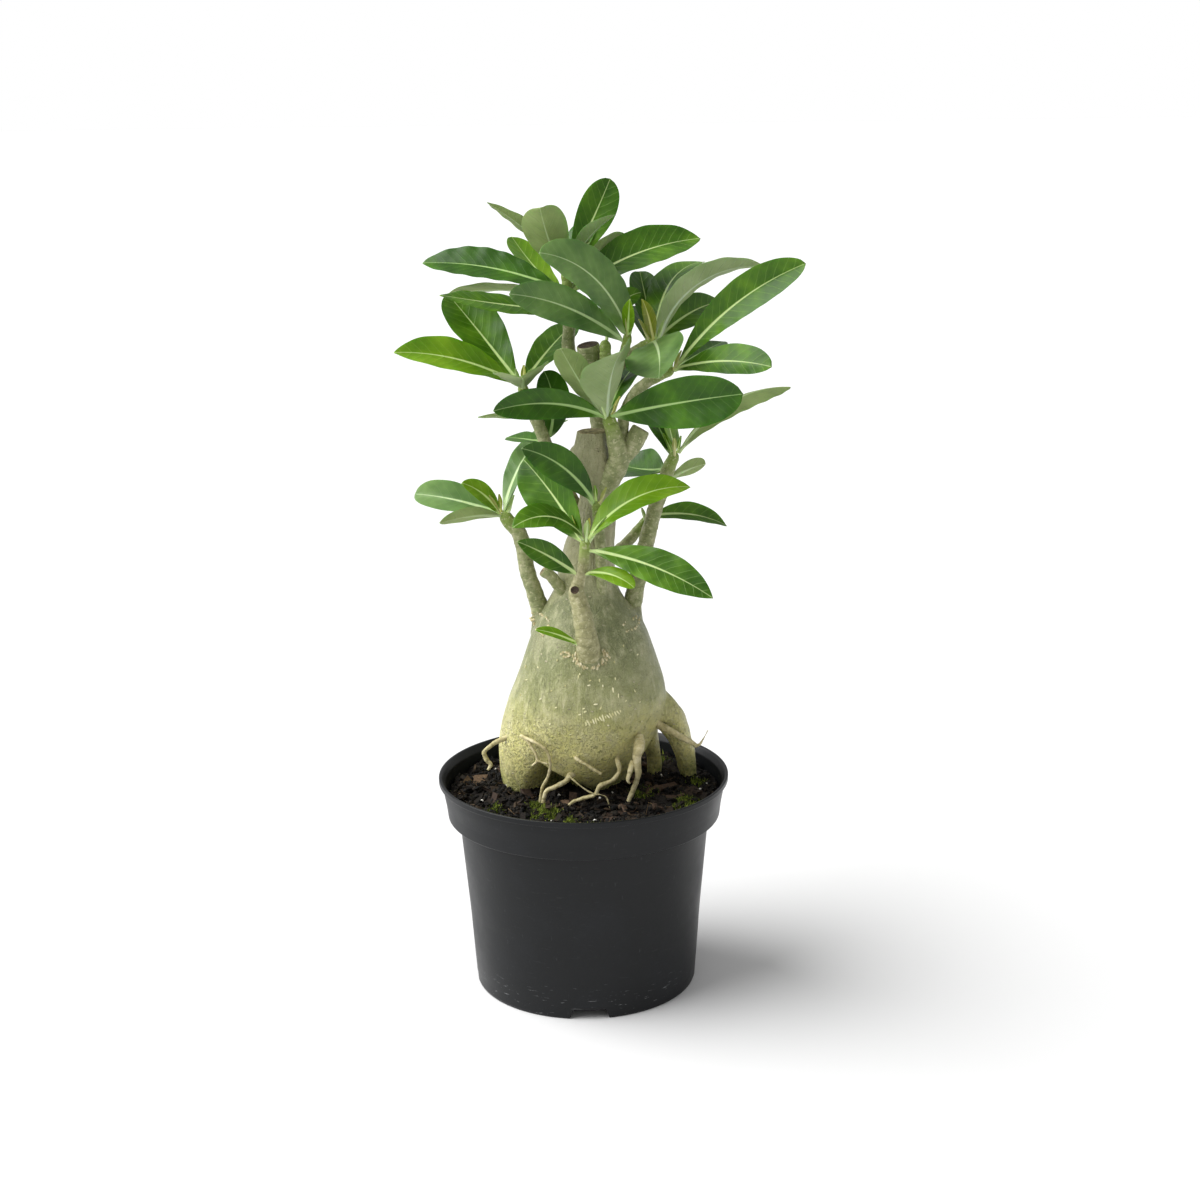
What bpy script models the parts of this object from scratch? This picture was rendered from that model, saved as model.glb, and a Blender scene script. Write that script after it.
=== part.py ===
"""Potted desert rose adenium: swollen stem, shoots, leaves and roots in a nursery pot.

Metres, +Z up. The origin is the centre of the pot's base, on the floor, and the
plant's front faces -Y. Lengths below are millimetres and angles are degrees.
"""
import math

import bmesh
import bpy
from mathutils import Vector

MM = 0.001
GAP = 0.3               # clearance between neighbouring solids

# ---------------------------------------------------------------- pot
RIM_R, RIM_Z = 75.0, 112.3          # 15 cm nursery pot
LIP = 2.8                           # height of the bead round the rim
BAND_LOW_R, BAND_LOW_Z = 70.6, 91.5
WALL_TOP_R, FOOT_R = 65.0, 57.8
WALL = 1.5
FLOOR = 6.8                         # inside floor over the raised drain channel
CHANNEL_IN, CHANNEL_OUT, CHANNEL_Z = 28.0, 50.0, 4.6
NOTCHES, NOTCH_W_TOP, NOTCH_W_BOTTOM, NOTCH_H = 4, 16.7, 20.5, 5.2
NOTCH_TURN = -88.0
HOLES, HOLE_R, HOLE_RING = 8, 3.5, 39.0
POT_STEPS = 56

# ---------------------------------------------------------------- soil
SOIL_Z, SOIL_MOUND = 102.6, 1.6

# ---------------------------------------------------------------- caudex
# height, centre x, centre y, half-width in x, half-width in y
CAUDEX = [
    (80, -8, 14, 15, 12), (90, -9, 14, 27, 22), (102, -10, 14, 33, 26.5),
    (110, -9, 12, 35.5, 29.5), (120, -7, 9, 37.5, 34), (130, -4, 6, 40, 37),
    (141, -1, 4, 41, 39), (152, 2, 2, 40.5, 39), (162, 3.2, 1, 37.8, 37.5),
    (178, 3.3, 0, 33, 33), (188, 3.6, 0, 29.5, 29.5), (197, 3.5, 0, 25.2, 25.2),
    (204, 2.2, 0, 19.8, 19.8), (212, 2.5, 0, 15.6, 15.6), (225, 3, 0, 13.8, 13.8),
    (236, 5, 0, 12.3, 12.3), (246, 7.6, 0, 10.6, 10.6), (257, 9.4, 0, 9.2, 9.2),
    (265, 9.2, 0, 8.9, 8.9), (275, 6.4, 0, 9.4, 9.4), (283.6, 5.4, 0, 9.8, 9.8),
    (284.6, 6.6, 0, 7.9, 7.9), (291.5, 7, 0, 7.6, 7.6),
]
CLEFTS = [(-101, 11, 0.17), (-38, 16, 0.13), (60, 20, 0.10), (160, 16, 0.10)]
CLEFT_TOP = 138.0                   # clefts open downwards from here
CAUDEX_STEPS = 28

# prop roots fused with the caudex: centre line and radius at each point
LEGS = {
    "right": [(31, 2, 152, 10), (45, 6, 140, 7.8), (51, 10, 125, 6), (54, 14, 113, 5),
              (56, 17, 102, 4.3), (57, 18, 93, 4)],
    "middle": [(27, 16, 138, 7), (35, 20, 122, 4.6), (37, 22, 110, 4), (37, 23, 93, 3.6)],
}

# ---------------------------------------------------------------- shoots
# name: what carries it, then x, y, z and radius along the centre line
SHOOTS = {
    "left_branch": (["caudex"], [(-18, 4, 189, 5.2), (-24, 1, 210, 4.2), (-27, 0, 220, 4),
                                 (-29, 0, 233, 3.9), (-31, 0, 240, 3.9), (-36, 0, 246, 3.6),
                                 (-39, 0, 250.5, 3)]),
    "front_branch": (["caudex"], [(4, -25, 178, 6), (3, -34, 192, 5.4), (2, -33, 207, 4.5),
                                  (0, -30, 217, 4), (2, -28, 228, 3.2), (3, -27, 242.5, 2.6)]),
    "second_branch": (["caudex"], [(13, -25, 187, 5), (13, -30, 200, 4), (11, -24, 210, 3.4),
                                   (10, -19.5, 219, 3), (10, -17.8, 232, 2.9),
                                   (8.5, -17, 259, 2.6)]),
    "right_branch": (["caudex"], [(24, 6, 190, 5.2), (30, 8, 218, 4.2), (34, 11, 233, 4),
                                  (38, 13, 248, 3.8), (42, 15, 258, 3.6), (45, 16, 268, 3.4),
                                  (49, 16, 277, 2.8)]),
    "right_twig": (["caudex"], [(8, 8, 218, 3.2), (23, 19, 229, 2.8), (31, 22, 237, 2.6),
                                (35, 23, 242, 2.3)]),
    "left_stub": (["caudex"], [(-5, -6, 205, 4), (-14, -12, 219, 3.6), (-19, -13, 223, 3.3)]),
    "fork": (["caudex"], [(8, -2, 258, 6), (19, -6, 275, 5.4), (18, -8, 288, 4.2),
                          (14, -6, 300.5, 3)]),
    "fork_stub": (["fork"], [(19.5, -6, 276, 3.6), (26, -4, 284, 4.8), (31, -3, 292.5, 4.7)]),
    "left_shoot": (["caudex"], [(2, 3, 243, 4), (-14, 9, 275, 3.6), (-19, 9, 290, 3.2),
                                (-25, 4, 305, 2.9), (-28, 0, 315, 2.5)]),
    "upper_trunk": (["caudex"], [(8, 6, 254, 6.2), (12, 15, 271, 6.2), (12, 17.5, 290, 6),
                                 (9, 12, 310, 6), (5, 8, 333, 5.8)]),
    "bud": (["upper_trunk"], [(9, 8, 312, 3.2), (13.4, 3.2, 323, 3.1), (13.6, 3.2, 336, 2.6)]),
    "top_shoot": (["upper_trunk"], [(7, 13, 312, 3.8), (-4, 14, 328, 3.4), (-4, 13, 347, 2.9),
                                    (-5.5, 14, 370, 2.3)]),
    "crown_shoot": (["upper_trunk"], [(10, 13, 302, 3.6), (19, 12, 320, 3.2),
                                      (29, 12, 329, 2.9), (39, 12, 334.5, 2.5)]),
    "crown_twig": (["crown_shoot"], [(21, 12, 322, 2.6), (23, 5, 329, 2.4), (25, 1.5, 339.5, 2.1)]),
    "right_shoot": (["fork", "fork_stub"], [(20, -5, 281, 3.2), (23, 1, 299, 2.9),
                                            (27, 2, 308, 2.8), (33, 2, 314, 2.8),
                                            (41, 2, 318.5, 2.7), (47.5, 2, 321, 2.4)]),
}
SHOOT_RES = 2

# ---------------------------------------------------------------- aerial roots
# points are (x, z) on the caudex's front face, lifted by the given amount, or (x, y, z)
ROOTS = {
    "root_loop": (1.0, 0.9, [(-30, 139), (-23, 137), (-18, 132), (-16, 125), (-17.5, 118),
                             (-20.5, 112), (-21.5, 100)], 0.7),
    "root_fork": (1.9, 1.2, [(-3, -8, 113), (-6, -20, 110.5), (-12, -22, 108), (-18, -23, 105),
                             (-20, -24, 100)], 0),
    "root_curl": (1.4, 1.0, [(18, 127), (19, 121), (17, 118), (13, 115), (9, 113.5),
                             (5, 110), (-2, -27, 105.5), (-8, -28, 101)], 0.6),
    "root_knot": (2.9, 1.7, [(29, 141), (28.5, 133), (27.5, 126), (27, 119), (25, -24, 111),
                             (22, -25, 104), (21, -25, 99)], 0.8),
    "root_spur": (1.8, 1.2, [(34, -6, 142), (44, -8, 137), (50, -7, 133), (55, -6, 130),
                             (58.5, -5, 127)], 0),
}

# ---------------------------------------------------------------- leaves
# name, shoot, drop from its tip, azimuth, rise, bend, sweep, length, width, roll, fold,
# place of the widest point, bluntness of the tip
LEAVES = [
    ("leaf_01", "top_shoot", 0.5, -154, 53, 27, 10, 53, 19, 5, 10, 0.55, 0.9),
    ("leaf_02", "top_shoot", 2.5, -116, 40, -17, 10, 44, 24, 25, 25, 0.66, 0.5),
    ("leaf_03", "top_shoot", 1.5, -25, 68, 40, 0, 37, 18, -5, 15, 0.62, 0.7),
    ("leaf_04", "top_shoot", 0.5, 40, 53, -3, 10, 51, 20, 50, 20, 0.66, 0.6),
    ("leaf_07", "top_shoot", 11.5, 49, 42, 33, -5, 48, 22, -60, 5, 0.6, 0.6),
    ("leaf_08", "top_shoot", 12.0, 22, 35, 32, -5, 73, 26, 40, 15, 0.6, 0.75),
    ("leaf_10", "top_shoot", 11.5, 168, 24, 27, 0, 73, 24, -35, 20, 0.6, 0.75),
    ("leaf_13", "top_shoot", 21.0, -146, 8, -4, -10, 68, 17, -30, 10, 0.55, 0.9),
    ("leaf_14", "crown_twig", 0.5, -149, 54, 50, 0, 66, 26, -60, 15, 0.48, 0.6),
    ("leaf_15", "crown_twig", 5.0, -165, 41, 34, 10, 64, 20, -80, 20, 0.62, 0.6),
    ("leaf_17", "crown_shoot", 0.5, 105, 53, 14, -5, 42, 18, 5, 20, 0.62, 0.5),
    ("leaf_19", "crown_shoot", 0.5, -6, 76, 82, 0, 68, 19, -35, 15, 0.5, 0.8),
    ("leaf_20", "right_shoot", 1.0, -16, 57, 35, 5, 83, 20, 75, 20, 0.66, 0.6),
    ("leaf_21", "crown_shoot", 0.5, 43, 34, 34, 5, 50, 20, 35, 15, 0.6, 0.7),
    ("leaf_25", "crown_shoot", 1.5, -81, -5, 23, -15, 42, 33, 25, 20, 0.66, 0.45),
    ("leaf_26", "right_shoot", 1.0, -42, 21, 30, 10, 56, 18, 50, 15, 0.66, 0.55),
    ("leaf_28", "right_branch", 0.5, 34, 47, 54, 0, 79, 19, -175, 15, 0.6, 0.8),
    ("leaf_29", "fork", 1.0, -38, 16, 7, 15, 73, 27, 95, 20, 0.66, 0.55),
    ("leaf_30", "fork", 0.5, -90, 60, 28, 20, 49, 34, 30, 25, 0.68, 0.5),
    ("leaf_32", "fork", 1.5, -146, 28, 40, -10, 61, 17, -85, 25, 0.62, 0.6),
    ("leaf_33", "fork", 0.5, -163, 8, 11, 0, 62, 17, 25, 5, 0.55, 0.9),
    ("leaf_34", "left_shoot", 0.5, -164, 33, 32, 0, 64, 21, -45, 15, 0.58, 0.85),
    ("leaf_35", "left_shoot", 0.5, 137, 42, 2, 5, 62, 27, -30, 20, 0.66, 0.6),
    ("leaf_37", "left_shoot", 2.0, -86, 22, 14, -5, 44, 29, 10, 20, 0.62, 0.6),
    ("leaf_38", "left_shoot", 0.5, 63, 31, 7, -10, 55, 19, 10, 15, 0.62, 0.7),
    ("leaf_45", "second_branch", 0.5, -148, 59, 43, 5, 52, 18, -100, 20, 0.6, 0.7),
    ("leaf_46", "front_branch", 2.5, 143, 56, 22, -5, 52, 26, -70, 20, 0.62, 0.6),
    ("leaf_47", "front_branch", 0.5, -143, 58, 84, 0, 46, 17, -35, 10, 0.55, 0.8),
    ("leaf_48", "front_branch", 0.5, 6, 57, 65, 10, 58, 20, 35, 15, 0.55, 0.85),
    ("leaf_49", "front_branch", 6.0, -21, -2, 27, -5, 67, 20, 50, 20, 0.58, 0.9),
    ("leaf_50", "front_branch", 18.0, -164, 40, 15, 10, 35, 13, -80, 20, 0.55, 0.85),
    ("leaf_51", "front_branch", 18.0, -22, 18, 53, -10, 27, 10, 40, 20, 0.65, 0.6),
    ("leaf_52", "left_branch", 1.0, 170, 20, 21, -15, 45, 18, -50, 20, 0.62, 0.55),
    ("leaf_53", "left_branch", 0.5, -153, 61, 40, 5, 26, 11, -65, 15, 0.55, 0.7),
    ("leaf_43", "left_branch", 0.5, 70, 57, 47, -25, 70, 16, -10, 15, 0.55, 0.8),
    ("leaf_58", "right_branch", 15.0, 33, 24, 22, 0, 22, 10, -70, 15, 0.65, 0.5),
    ("leaf_59", "right_twig", 0.5, 31, 6, 36, -5, 47, 14, 40, 20, 0.55, 0.85),
]

LEAF_ROWS, LEAF_COLUMNS = 8, 2      # faces along and across a blade
BLADE = 1.0                         # blade thickness


def material(name, hex_colour, roughness):
    """Return a Principled material of one sRGB colour."""
    mat = bpy.data.materials.new(name)
    mat.use_nodes = True
    rgb = [int(hex_colour[i:i + 2], 16) / 255 for i in (1, 3, 5)]
    linear = [c / 12.92 if c <= 0.04045 else ((c + 0.055) / 1.055) ** 2.4 for c in rgb]
    shader = mat.node_tree.nodes["Principled BSDF"]
    shader.inputs["Base Color"].default_value = (*linear, 1)
    shader.inputs["Roughness"].default_value = roughness
    shader.inputs["Metallic"].default_value = 0
    mat.diffuse_color = (*linear, 1)
    return mat


def collection(name):
    """Return a new collection linked to the scene."""
    made = bpy.data.collections.new(name)
    bpy.context.scene.collection.children.link(made)
    return made


def put(name, data, mat=None):
    """Link data as a plant part, or as a cutter when it has no material."""
    obj = bpy.data.objects.new(name, data)
    (PLANT if mat else CUTTERS).objects.link(obj)
    if mat:
        data.materials.append(mat)
    else:
        obj.hide_render = True
        obj.display_type = "WIRE"
    return obj


def smooth(mesh, angle=40):
    mesh.shade_smooth()
    mesh.set_sharp_from_angle(angle=math.radians(angle))


def evaluated_mesh(obj, name):
    """Take an object's evaluated shape as a welded mesh and remove the object."""
    bpy.context.view_layer.update()
    graph = bpy.context.evaluated_depsgraph_get()
    mesh = bpy.data.meshes.new_from_object(obj.evaluated_get(graph), depsgraph=graph)
    mesh.name = name
    bm = bmesh.new()
    bm.from_mesh(mesh)
    bmesh.ops.remove_doubles(bm, verts=bm.verts, dist=0.00001)
    bmesh.ops.triangulate(bm, faces=[f for f in bm.faces if len(f.verts) > 4])
    bmesh.ops.recalc_face_normals(bm, faces=bm.faces)
    bm.to_mesh(mesh)
    bm.free()
    bpy.data.objects.remove(obj)
    return mesh


def boolean(obj, cutter, operation="DIFFERENCE"):
    mod = obj.modifiers.new(operation.title(), "BOOLEAN")
    mod.operation = operation
    mod.object = cutter
    mod.solver = "EXACT"


def turned(name, profile, mat=None, steps=POT_STEPS):
    """Turn a profile of (r, z) points about Z with a Screw modifier."""
    mesh = bpy.data.meshes.new(name)
    mesh.from_pydata([(r * MM, 0, z * MM) for r, z in profile],
                     [(i, i + 1) for i in range(len(profile) - 1)], [])
    obj = put(name, mesh, mat)
    screw = obj.modifiers.new("Turn", "SCREW")
    screw.steps = screw.render_steps = steps
    screw.use_merge_vertices = True
    screw.merge_threshold = 0.00005
    screw.use_smooth_shade = True
    return obj


def tube(name, points, mat=None, grow=0.0):
    """Sweep a round section along (x, y, z, r) points, ends capped flat."""
    curve = bpy.data.curves.new(name, "CURVE")
    curve.dimensions = "3D"
    curve.bevel_depth = MM
    curve.bevel_resolution = SHOOT_RES
    curve.use_fill_caps = True
    spline = curve.splines.new("POLY")
    spline.points.add(len(points) - 1)
    for point, (x, y, z, r) in zip(spline.points, points):
        point.co = (x * MM, y * MM, z * MM, 1)
        point.radius = r + grow
    mesh = evaluated_mesh(put(name, curve), name)
    smooth(mesh)
    return put(name, mesh, mat)


def loft(name, rings, mat=None):
    """Skin closed rings of points, from the lowest up, and cap both ends."""
    bm = bmesh.new()
    loops = [[bm.verts.new([c * MM for c in point]) for point in ring] for ring in rings]
    count = len(loops[0])
    for low, high in zip(loops, loops[1:]):
        for i in range(count):
            j = (i + 1) % count
            bm.faces.new((low[i], low[j], high[j], high[i]))
    bm.faces.new(loops[0][::-1])
    bm.faces.new(loops[-1])
    bmesh.ops.triangulate(bm, faces=[f for f in bm.faces if len(f.verts) > 4])
    mesh = bpy.data.meshes.new(name)
    bm.to_mesh(mesh)
    bm.free()
    smooth(mesh)
    return put(name, mesh, mat)


# ---------------------------------------------------------------- pot and soil
def inner_profile(grow=0.0):
    """Inside line of the pot from the floor's centre to just under the rim."""
    return [(0, 1.8 + grow), (CHANNEL_IN - 2.0 - grow, 1.8 + grow),
            (CHANNEL_IN + 0.4 - grow, FLOOR + grow), (FOOT_R - WALL - 0.6 - grow, FLOOR + grow),
            (FOOT_R - WALL - grow, FLOOR + 2.0), (WALL_TOP_R - WALL - grow, 90.0),
            (WALL_TOP_R - 0.4 - grow, 92.6 + grow), (BAND_LOW_R - WALL - grow, 93.0 + grow)]


def pot():
    profile = inner_profile() + [
        (RIM_R - 3.4, 108.8), (RIM_R - 1.9, 111.0), (RIM_R - 1.5, RIM_Z - 0.3),
        (RIM_R - 1.0, RIM_Z), (RIM_R - 0.3, RIM_Z), (RIM_R, RIM_Z - 0.5),
        (RIM_R, RIM_Z - LIP + 0.4), (RIM_R - 0.5, RIM_Z - LIP), (RIM_R - 1.8, RIM_Z - LIP),
        (72.7, 105), (71.4, 98), (BAND_LOW_R, BAND_LOW_Z), (BAND_LOW_R - 0.4, BAND_LOW_Z - 0.5),
        (WALL_TOP_R, BAND_LOW_Z - 0.5), (60.4, 40), (FOOT_R, 1.2), (FOOT_R - 0.8, 0),
        (CHANNEL_OUT, 0), (CHANNEL_OUT - 1, CHANNEL_Z), (CHANNEL_IN + 1, CHANNEL_Z),
        (CHANNEL_IN, 0), (0, 0)]
    body = turned("pot", profile, BLACK_PLASTIC)
    for i in range(NOTCHES):
        bm = bmesh.new()
        bmesh.ops.create_cube(bm, size=1)
        for v in bm.verts:
            width = NOTCH_W_TOP if v.co.z > 0 else NOTCH_W_BOTTOM
            v.co = ((FOOT_R + 1 + 12 * v.co.x - 5) * MM, v.co.y * width * MM,
                    (NOTCH_H if v.co.z > 0 else -1) * MM)
        mesh = bpy.data.meshes.new("notch_cutter")
        bm.to_mesh(mesh)
        bm.free()
        notch = put(f"notch_cutter_{i}", mesh)
        notch.rotation_euler.z = math.radians(NOTCH_TURN + 360 / NOTCHES * i)
        boolean(body, notch)
    for i in range(HOLES):
        turn = math.radians(NOTCH_TURN + 360 / HOLES * (i + 0.5))
        bpy.ops.mesh.primitive_cylinder_add(
            vertices=12, radius=HOLE_R * MM, depth=12 * MM,
            location=(HOLE_RING * MM * math.cos(turn), HOLE_RING * MM * math.sin(turn), 5 * MM))
        hole = bpy.context.object
        hole.name = f"drain_cutter_{i}"
        for owner in hole.users_collection:
            owner.objects.unlink(hole)
        CUTTERS.objects.link(hole)
        hole.hide_render = True
        hole.display_type = "WIRE"
        boolean(body, hole)
    return body


def soil_height(x, y):
    """Soil surface: a low mound towards the plant with shallow waves."""
    r = math.hypot(x, y)
    waves = math.sin(x * 0.21 + 1.0) * math.cos(y * 0.17) + 0.6 * math.sin(x * 0.11 - y * 0.27)
    return SOIL_Z + SOIL_MOUND * (1 - (r / 70) ** 2) + 0.5 * waves


def soil_solid(name, mat=None, lift=0.0):
    """Turned body that fills the pot, with its top ring points raised to the soil surface."""
    side = inner_profile(GAP)
    edge = BAND_LOW_R - WALL - GAP + 0.10 * (SOIL_Z - 93)
    rings = [edge * k for k in (1, 0.93, 0.8, 0.64, 0.48, 0.32, 0.16, 0)]
    profile = [(r, SOIL_Z) for r in rings[::-1]] + side[::-1]
    mesh = evaluated_mesh(turned(name, profile), name)
    for v in mesh.vertices:
        x, y, z = v.co / MM
        if z > SOIL_Z - 2:
            v.co.z = (soil_height(x, y) + lift) * MM
    smooth(mesh)
    return put(name, mesh, mat)


# ---------------------------------------------------------------- caudex and shoots
def caudex_section(z):
    """Centre and half-widths at a height, straight between the listed sections."""
    for low, high in zip(CAUDEX, CAUDEX[1:]):
        if z <= high[0]:
            t = max(0.0, (z - low[0]) / (high[0] - low[0]))
            return [a + (b - a) * t for a, b in zip(low[1:], high[1:])]
    return list(CAUDEX[-1][1:])


def cleft(z, angle):
    """Share of the radius left at an angle: below 1 inside a cleft."""
    depth = min(1.0, max(0.0, (CLEFT_TOP - z) / 28))
    share = 1.0
    for centre, width, amount in CLEFTS:
        off = (angle - centre + 180) % 360 - 180
        share -= amount * depth * math.exp(-(off / width) ** 2)
    return share


def caudex_ring(z, grow=0.0):
    cx, cy, rx, ry = caudex_section(z)
    ring = []
    for i in range(CAUDEX_STEPS):
        angle = 360 / CAUDEX_STEPS * i
        share = cleft(z, angle if angle <= 180 else angle - 360)
        c, s = math.cos(math.radians(angle)), math.sin(math.radians(angle))
        ring.append((cx + (rx * share + grow) * c, cy + (ry * share + grow) * s, z))
    return ring


def caudex_solid(name, mat=None, grow=0.0):
    """Lofted body and neck joined with the prop roots, all grown by one clearance."""
    heights = [z for z, *_ in CAUDEX]
    heights[0] -= grow
    heights[-1] += grow
    rings = [caudex_ring(z, grow) for z in heights]
    if grow:
        rings[-2] = caudex_ring(CAUDEX[-2][0] + grow, grow)
        rings[-3] = caudex_ring(CAUDEX[-3][0] + grow, grow)
    body = loft(name, rings, mat)
    for leg, points in LEGS.items():
        boolean(body, tube(f"{name}_{leg}_leg", points, grow=grow), "UNION")
    return body


def front_face(x, z):
    """Depth of the caudex's front face at a width and height."""
    cx, cy, rx, ry = caudex_section(z)
    angle = -90.0
    for _ in range(12):
        share = cleft(z, angle)
        c = max(-0.98, min(0.98, (x - cx) / (rx * share)))
        angle = -math.degrees(math.acos(c))
    return cy + ry * cleft(z, angle) * math.sin(math.radians(angle))


def shoots():
    """Build each shoot, cut clear of whatever carries it."""
    bodies = {}
    for name, (carriers, points) in SHOOTS.items():
        bodies[name] = tube(name, points, BARK)
        for carrier in carriers:
            cutter = bpy.data.objects.get(f"{carrier}_clearance")
            if cutter is None:
                cutter = tube(f"{carrier}_clearance", SHOOTS[carrier][1], grow=GAP)
            boolean(bodies[name], cutter)
    return bodies


def roots(soil_cutter, caudex_cutter):
    """Thin surface roots from the caudex into the soil."""
    for name, (thick, thin, path, lift) in ROOTS.items():
        points = []
        for i, place in enumerate(path):
            r = thick + (thin - thick) * i / (len(path) - 1)
            if len(place) == 2:
                x, z = place
                out = -4 if i == 0 else r + GAP + lift
                place = (x, front_face(x, z) - out, z)
            points.append((*place, r))
        root = tube(name, points, BARK)
        boolean(root, caudex_cutter)
        boolean(root, soil_cutter)


# ---------------------------------------------------------------- leaves
def shoot_point(shoot, drop):
    """Point and radius on a shoot's centre line, a distance back from its tip."""
    points = SHOOTS[shoot][1][::-1]
    for near, far in zip(points, points[1:]):
        a, b = Vector(near[:3]), Vector(far[:3])
        step = (b - a).length
        if drop <= step:
            return a.lerp(b, drop / step), near[3] + (far[3] - near[3]) * drop / step
        drop -= step
    return Vector(points[-1][:3]), points[-1][3]


def half_width(u, width, widest, point):
    """Blade outline: zero at both ends, full at u = widest."""
    rise = point * widest / (1 - widest)
    top = widest ** rise * (1 - widest) ** point
    return max(width / 2 * u ** rise * (1 - u) ** point / top, 0.9 - 0.5 * u)


def leaf(name, shoot, drop, azimuth, rise, bend, sweep, length, width, roll, fold,
         widest, point):
    """Blade swept along a drooping midrib and folded up along it.

    The midrib leaves the shoot at the azimuth and rise, loses `bend` degrees of
    rise and turns by `sweep` over its length. The blade rolls about the midrib.
    """
    axis, radius = shoot_point(shoot, drop)
    a = math.radians(azimuth)
    start = axis + Vector((math.cos(a), math.sin(a), 0)) * (radius + GAP + 0.3)
    bm = bmesh.new()
    bmesh.ops.create_grid(bm, x_segments=LEAF_ROWS, y_segments=LEAF_COLUMNS, size=1)
    fine = 4 * LEAF_ROWS
    spine, frames = [start.copy()], []
    for i in range(fine + 1):
        u = i / fine
        a, r = math.radians(azimuth + sweep * u), math.radians(rise - bend * u)
        tangent = Vector((math.cos(r) * math.cos(a), math.cos(r) * math.sin(a), math.sin(r)))
        side = Vector((-math.sin(a), math.cos(a), 0))
        normal = tangent.cross(side)
        turn = math.radians(roll)
        frames.append((side * math.cos(turn) + normal * math.sin(turn),
                       normal * math.cos(turn) - side * math.sin(turn)))
        spine.append(spine[-1] + tangent * (length / fine))
    for v in bm.verts:
        u, across = (v.co.x + 1) / 2, v.co.y
        side, normal = frames[round(u * fine)]
        h = half_width(u, width, widest, point)
        lean = math.radians(fold)
        place = (spine[round(u * fine)] + side * (h * across * math.cos(lean))
                 + normal * (h * abs(across) * math.sin(lean)))
        v.co = place * MM
    mesh = bpy.data.meshes.new(name)
    bm.to_mesh(mesh)
    bm.free()
    smooth(mesh, 60)
    blade = put(name, mesh, GREEN)
    thick = blade.modifiers.new("Blade", "SOLIDIFY")
    thick.thickness = BLADE * MM
    thick.offset = 0
    return blade


def main():
    pot()
    caudex_solid("caudex", GREY_BARK)
    caudex_cutter = caudex_solid("caudex_clearance", grow=GAP)
    soil = soil_solid("potting_soil", PEAT)
    boolean(soil, caudex_cutter)
    shoots()
    roots(soil_solid("soil_clearance", lift=GAP), caudex_cutter)
    for row in LEAVES:
        leaf(*row)


for old in list(bpy.data.objects):
    bpy.data.objects.remove(old)
PLANT = collection("potted_desert_rose_adenium")
CUTTERS = collection("cutters")
BLACK_PLASTIC = material("black_plastic", "#34363A", 0.45)
PEAT = material("peat", "#2B2119", 0.95)
GREY_BARK = material("grey_bark", "#9AA383", 0.6)
BARK = material("bark", "#8F8C70", 0.7)
GREEN = material("leaf_green", "#3F7A1A", 0.4)
main()
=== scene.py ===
"""Potted desert rose adenium: the finished look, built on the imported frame.

The plant is worked out from its growth: shoots are radii carried along paths,
leaves are blades set on those shoots by azimuth and rise, and the swollen stem
is a stack of lobed sections. Lengths in the tables are millimetres, angles are
degrees, and meshes are in metres with +Z up and the plant's front towards -Y.
"""

from __future__ import annotations

import logging
import math
from collections.abc import Iterator, Mapping, Sequence
from dataclasses import dataclass, field
from enum import Enum

import bpy
import numpy as np
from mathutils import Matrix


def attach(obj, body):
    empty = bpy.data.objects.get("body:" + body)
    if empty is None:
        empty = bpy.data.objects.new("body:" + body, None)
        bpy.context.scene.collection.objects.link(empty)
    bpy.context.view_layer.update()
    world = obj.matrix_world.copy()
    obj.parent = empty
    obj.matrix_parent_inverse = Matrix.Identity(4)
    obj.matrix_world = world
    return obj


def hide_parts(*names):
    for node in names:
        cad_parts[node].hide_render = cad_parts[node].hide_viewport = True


logging.basicConfig(level=logging.INFO, format="%(message)s")
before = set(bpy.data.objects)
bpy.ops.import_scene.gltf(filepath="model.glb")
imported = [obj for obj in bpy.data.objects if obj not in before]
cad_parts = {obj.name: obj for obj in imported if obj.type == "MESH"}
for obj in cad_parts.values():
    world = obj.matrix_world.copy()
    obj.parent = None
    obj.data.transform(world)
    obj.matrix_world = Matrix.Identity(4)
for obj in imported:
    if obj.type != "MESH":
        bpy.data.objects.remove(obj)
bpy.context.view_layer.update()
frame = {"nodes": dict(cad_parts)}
NODES = frozenset(frame["nodes"])

LOG = logging.getLogger("potted_adenium")
MM = 0.001
TAU = 2 * math.pi
Array = np.ndarray
Socket = bpy.types.NodeSocket


# --------------------------------------------------------------------------- shared maths
def linear(hex_colour: str) -> tuple[float, float, float, float]:
    """Turn an sRGB hex colour to linear light.

    Args:
        hex_colour: colour such as "#4F7A2A".

    Returns:
        Linear red, green and blue, and an opacity of 1.
    """
    raw = [int(hex_colour[i:i + 2], 16) / 255 for i in (1, 3, 5)]
    red, green, blue = (c / 12.92 if c <= 0.04045 else ((c + 0.055) / 1.055) ** 2.4 for c in raw)
    return red, green, blue, 1.0


def smoothstep(low: float, high: float, x: Array) -> Array:
    """Ease from 0 at low to 1 at high: t squared times (3 - 2t)."""
    t = np.clip((x - low) / (high - low), 0.0, 1.0)
    return t * t * (3 - 2 * t)


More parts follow.
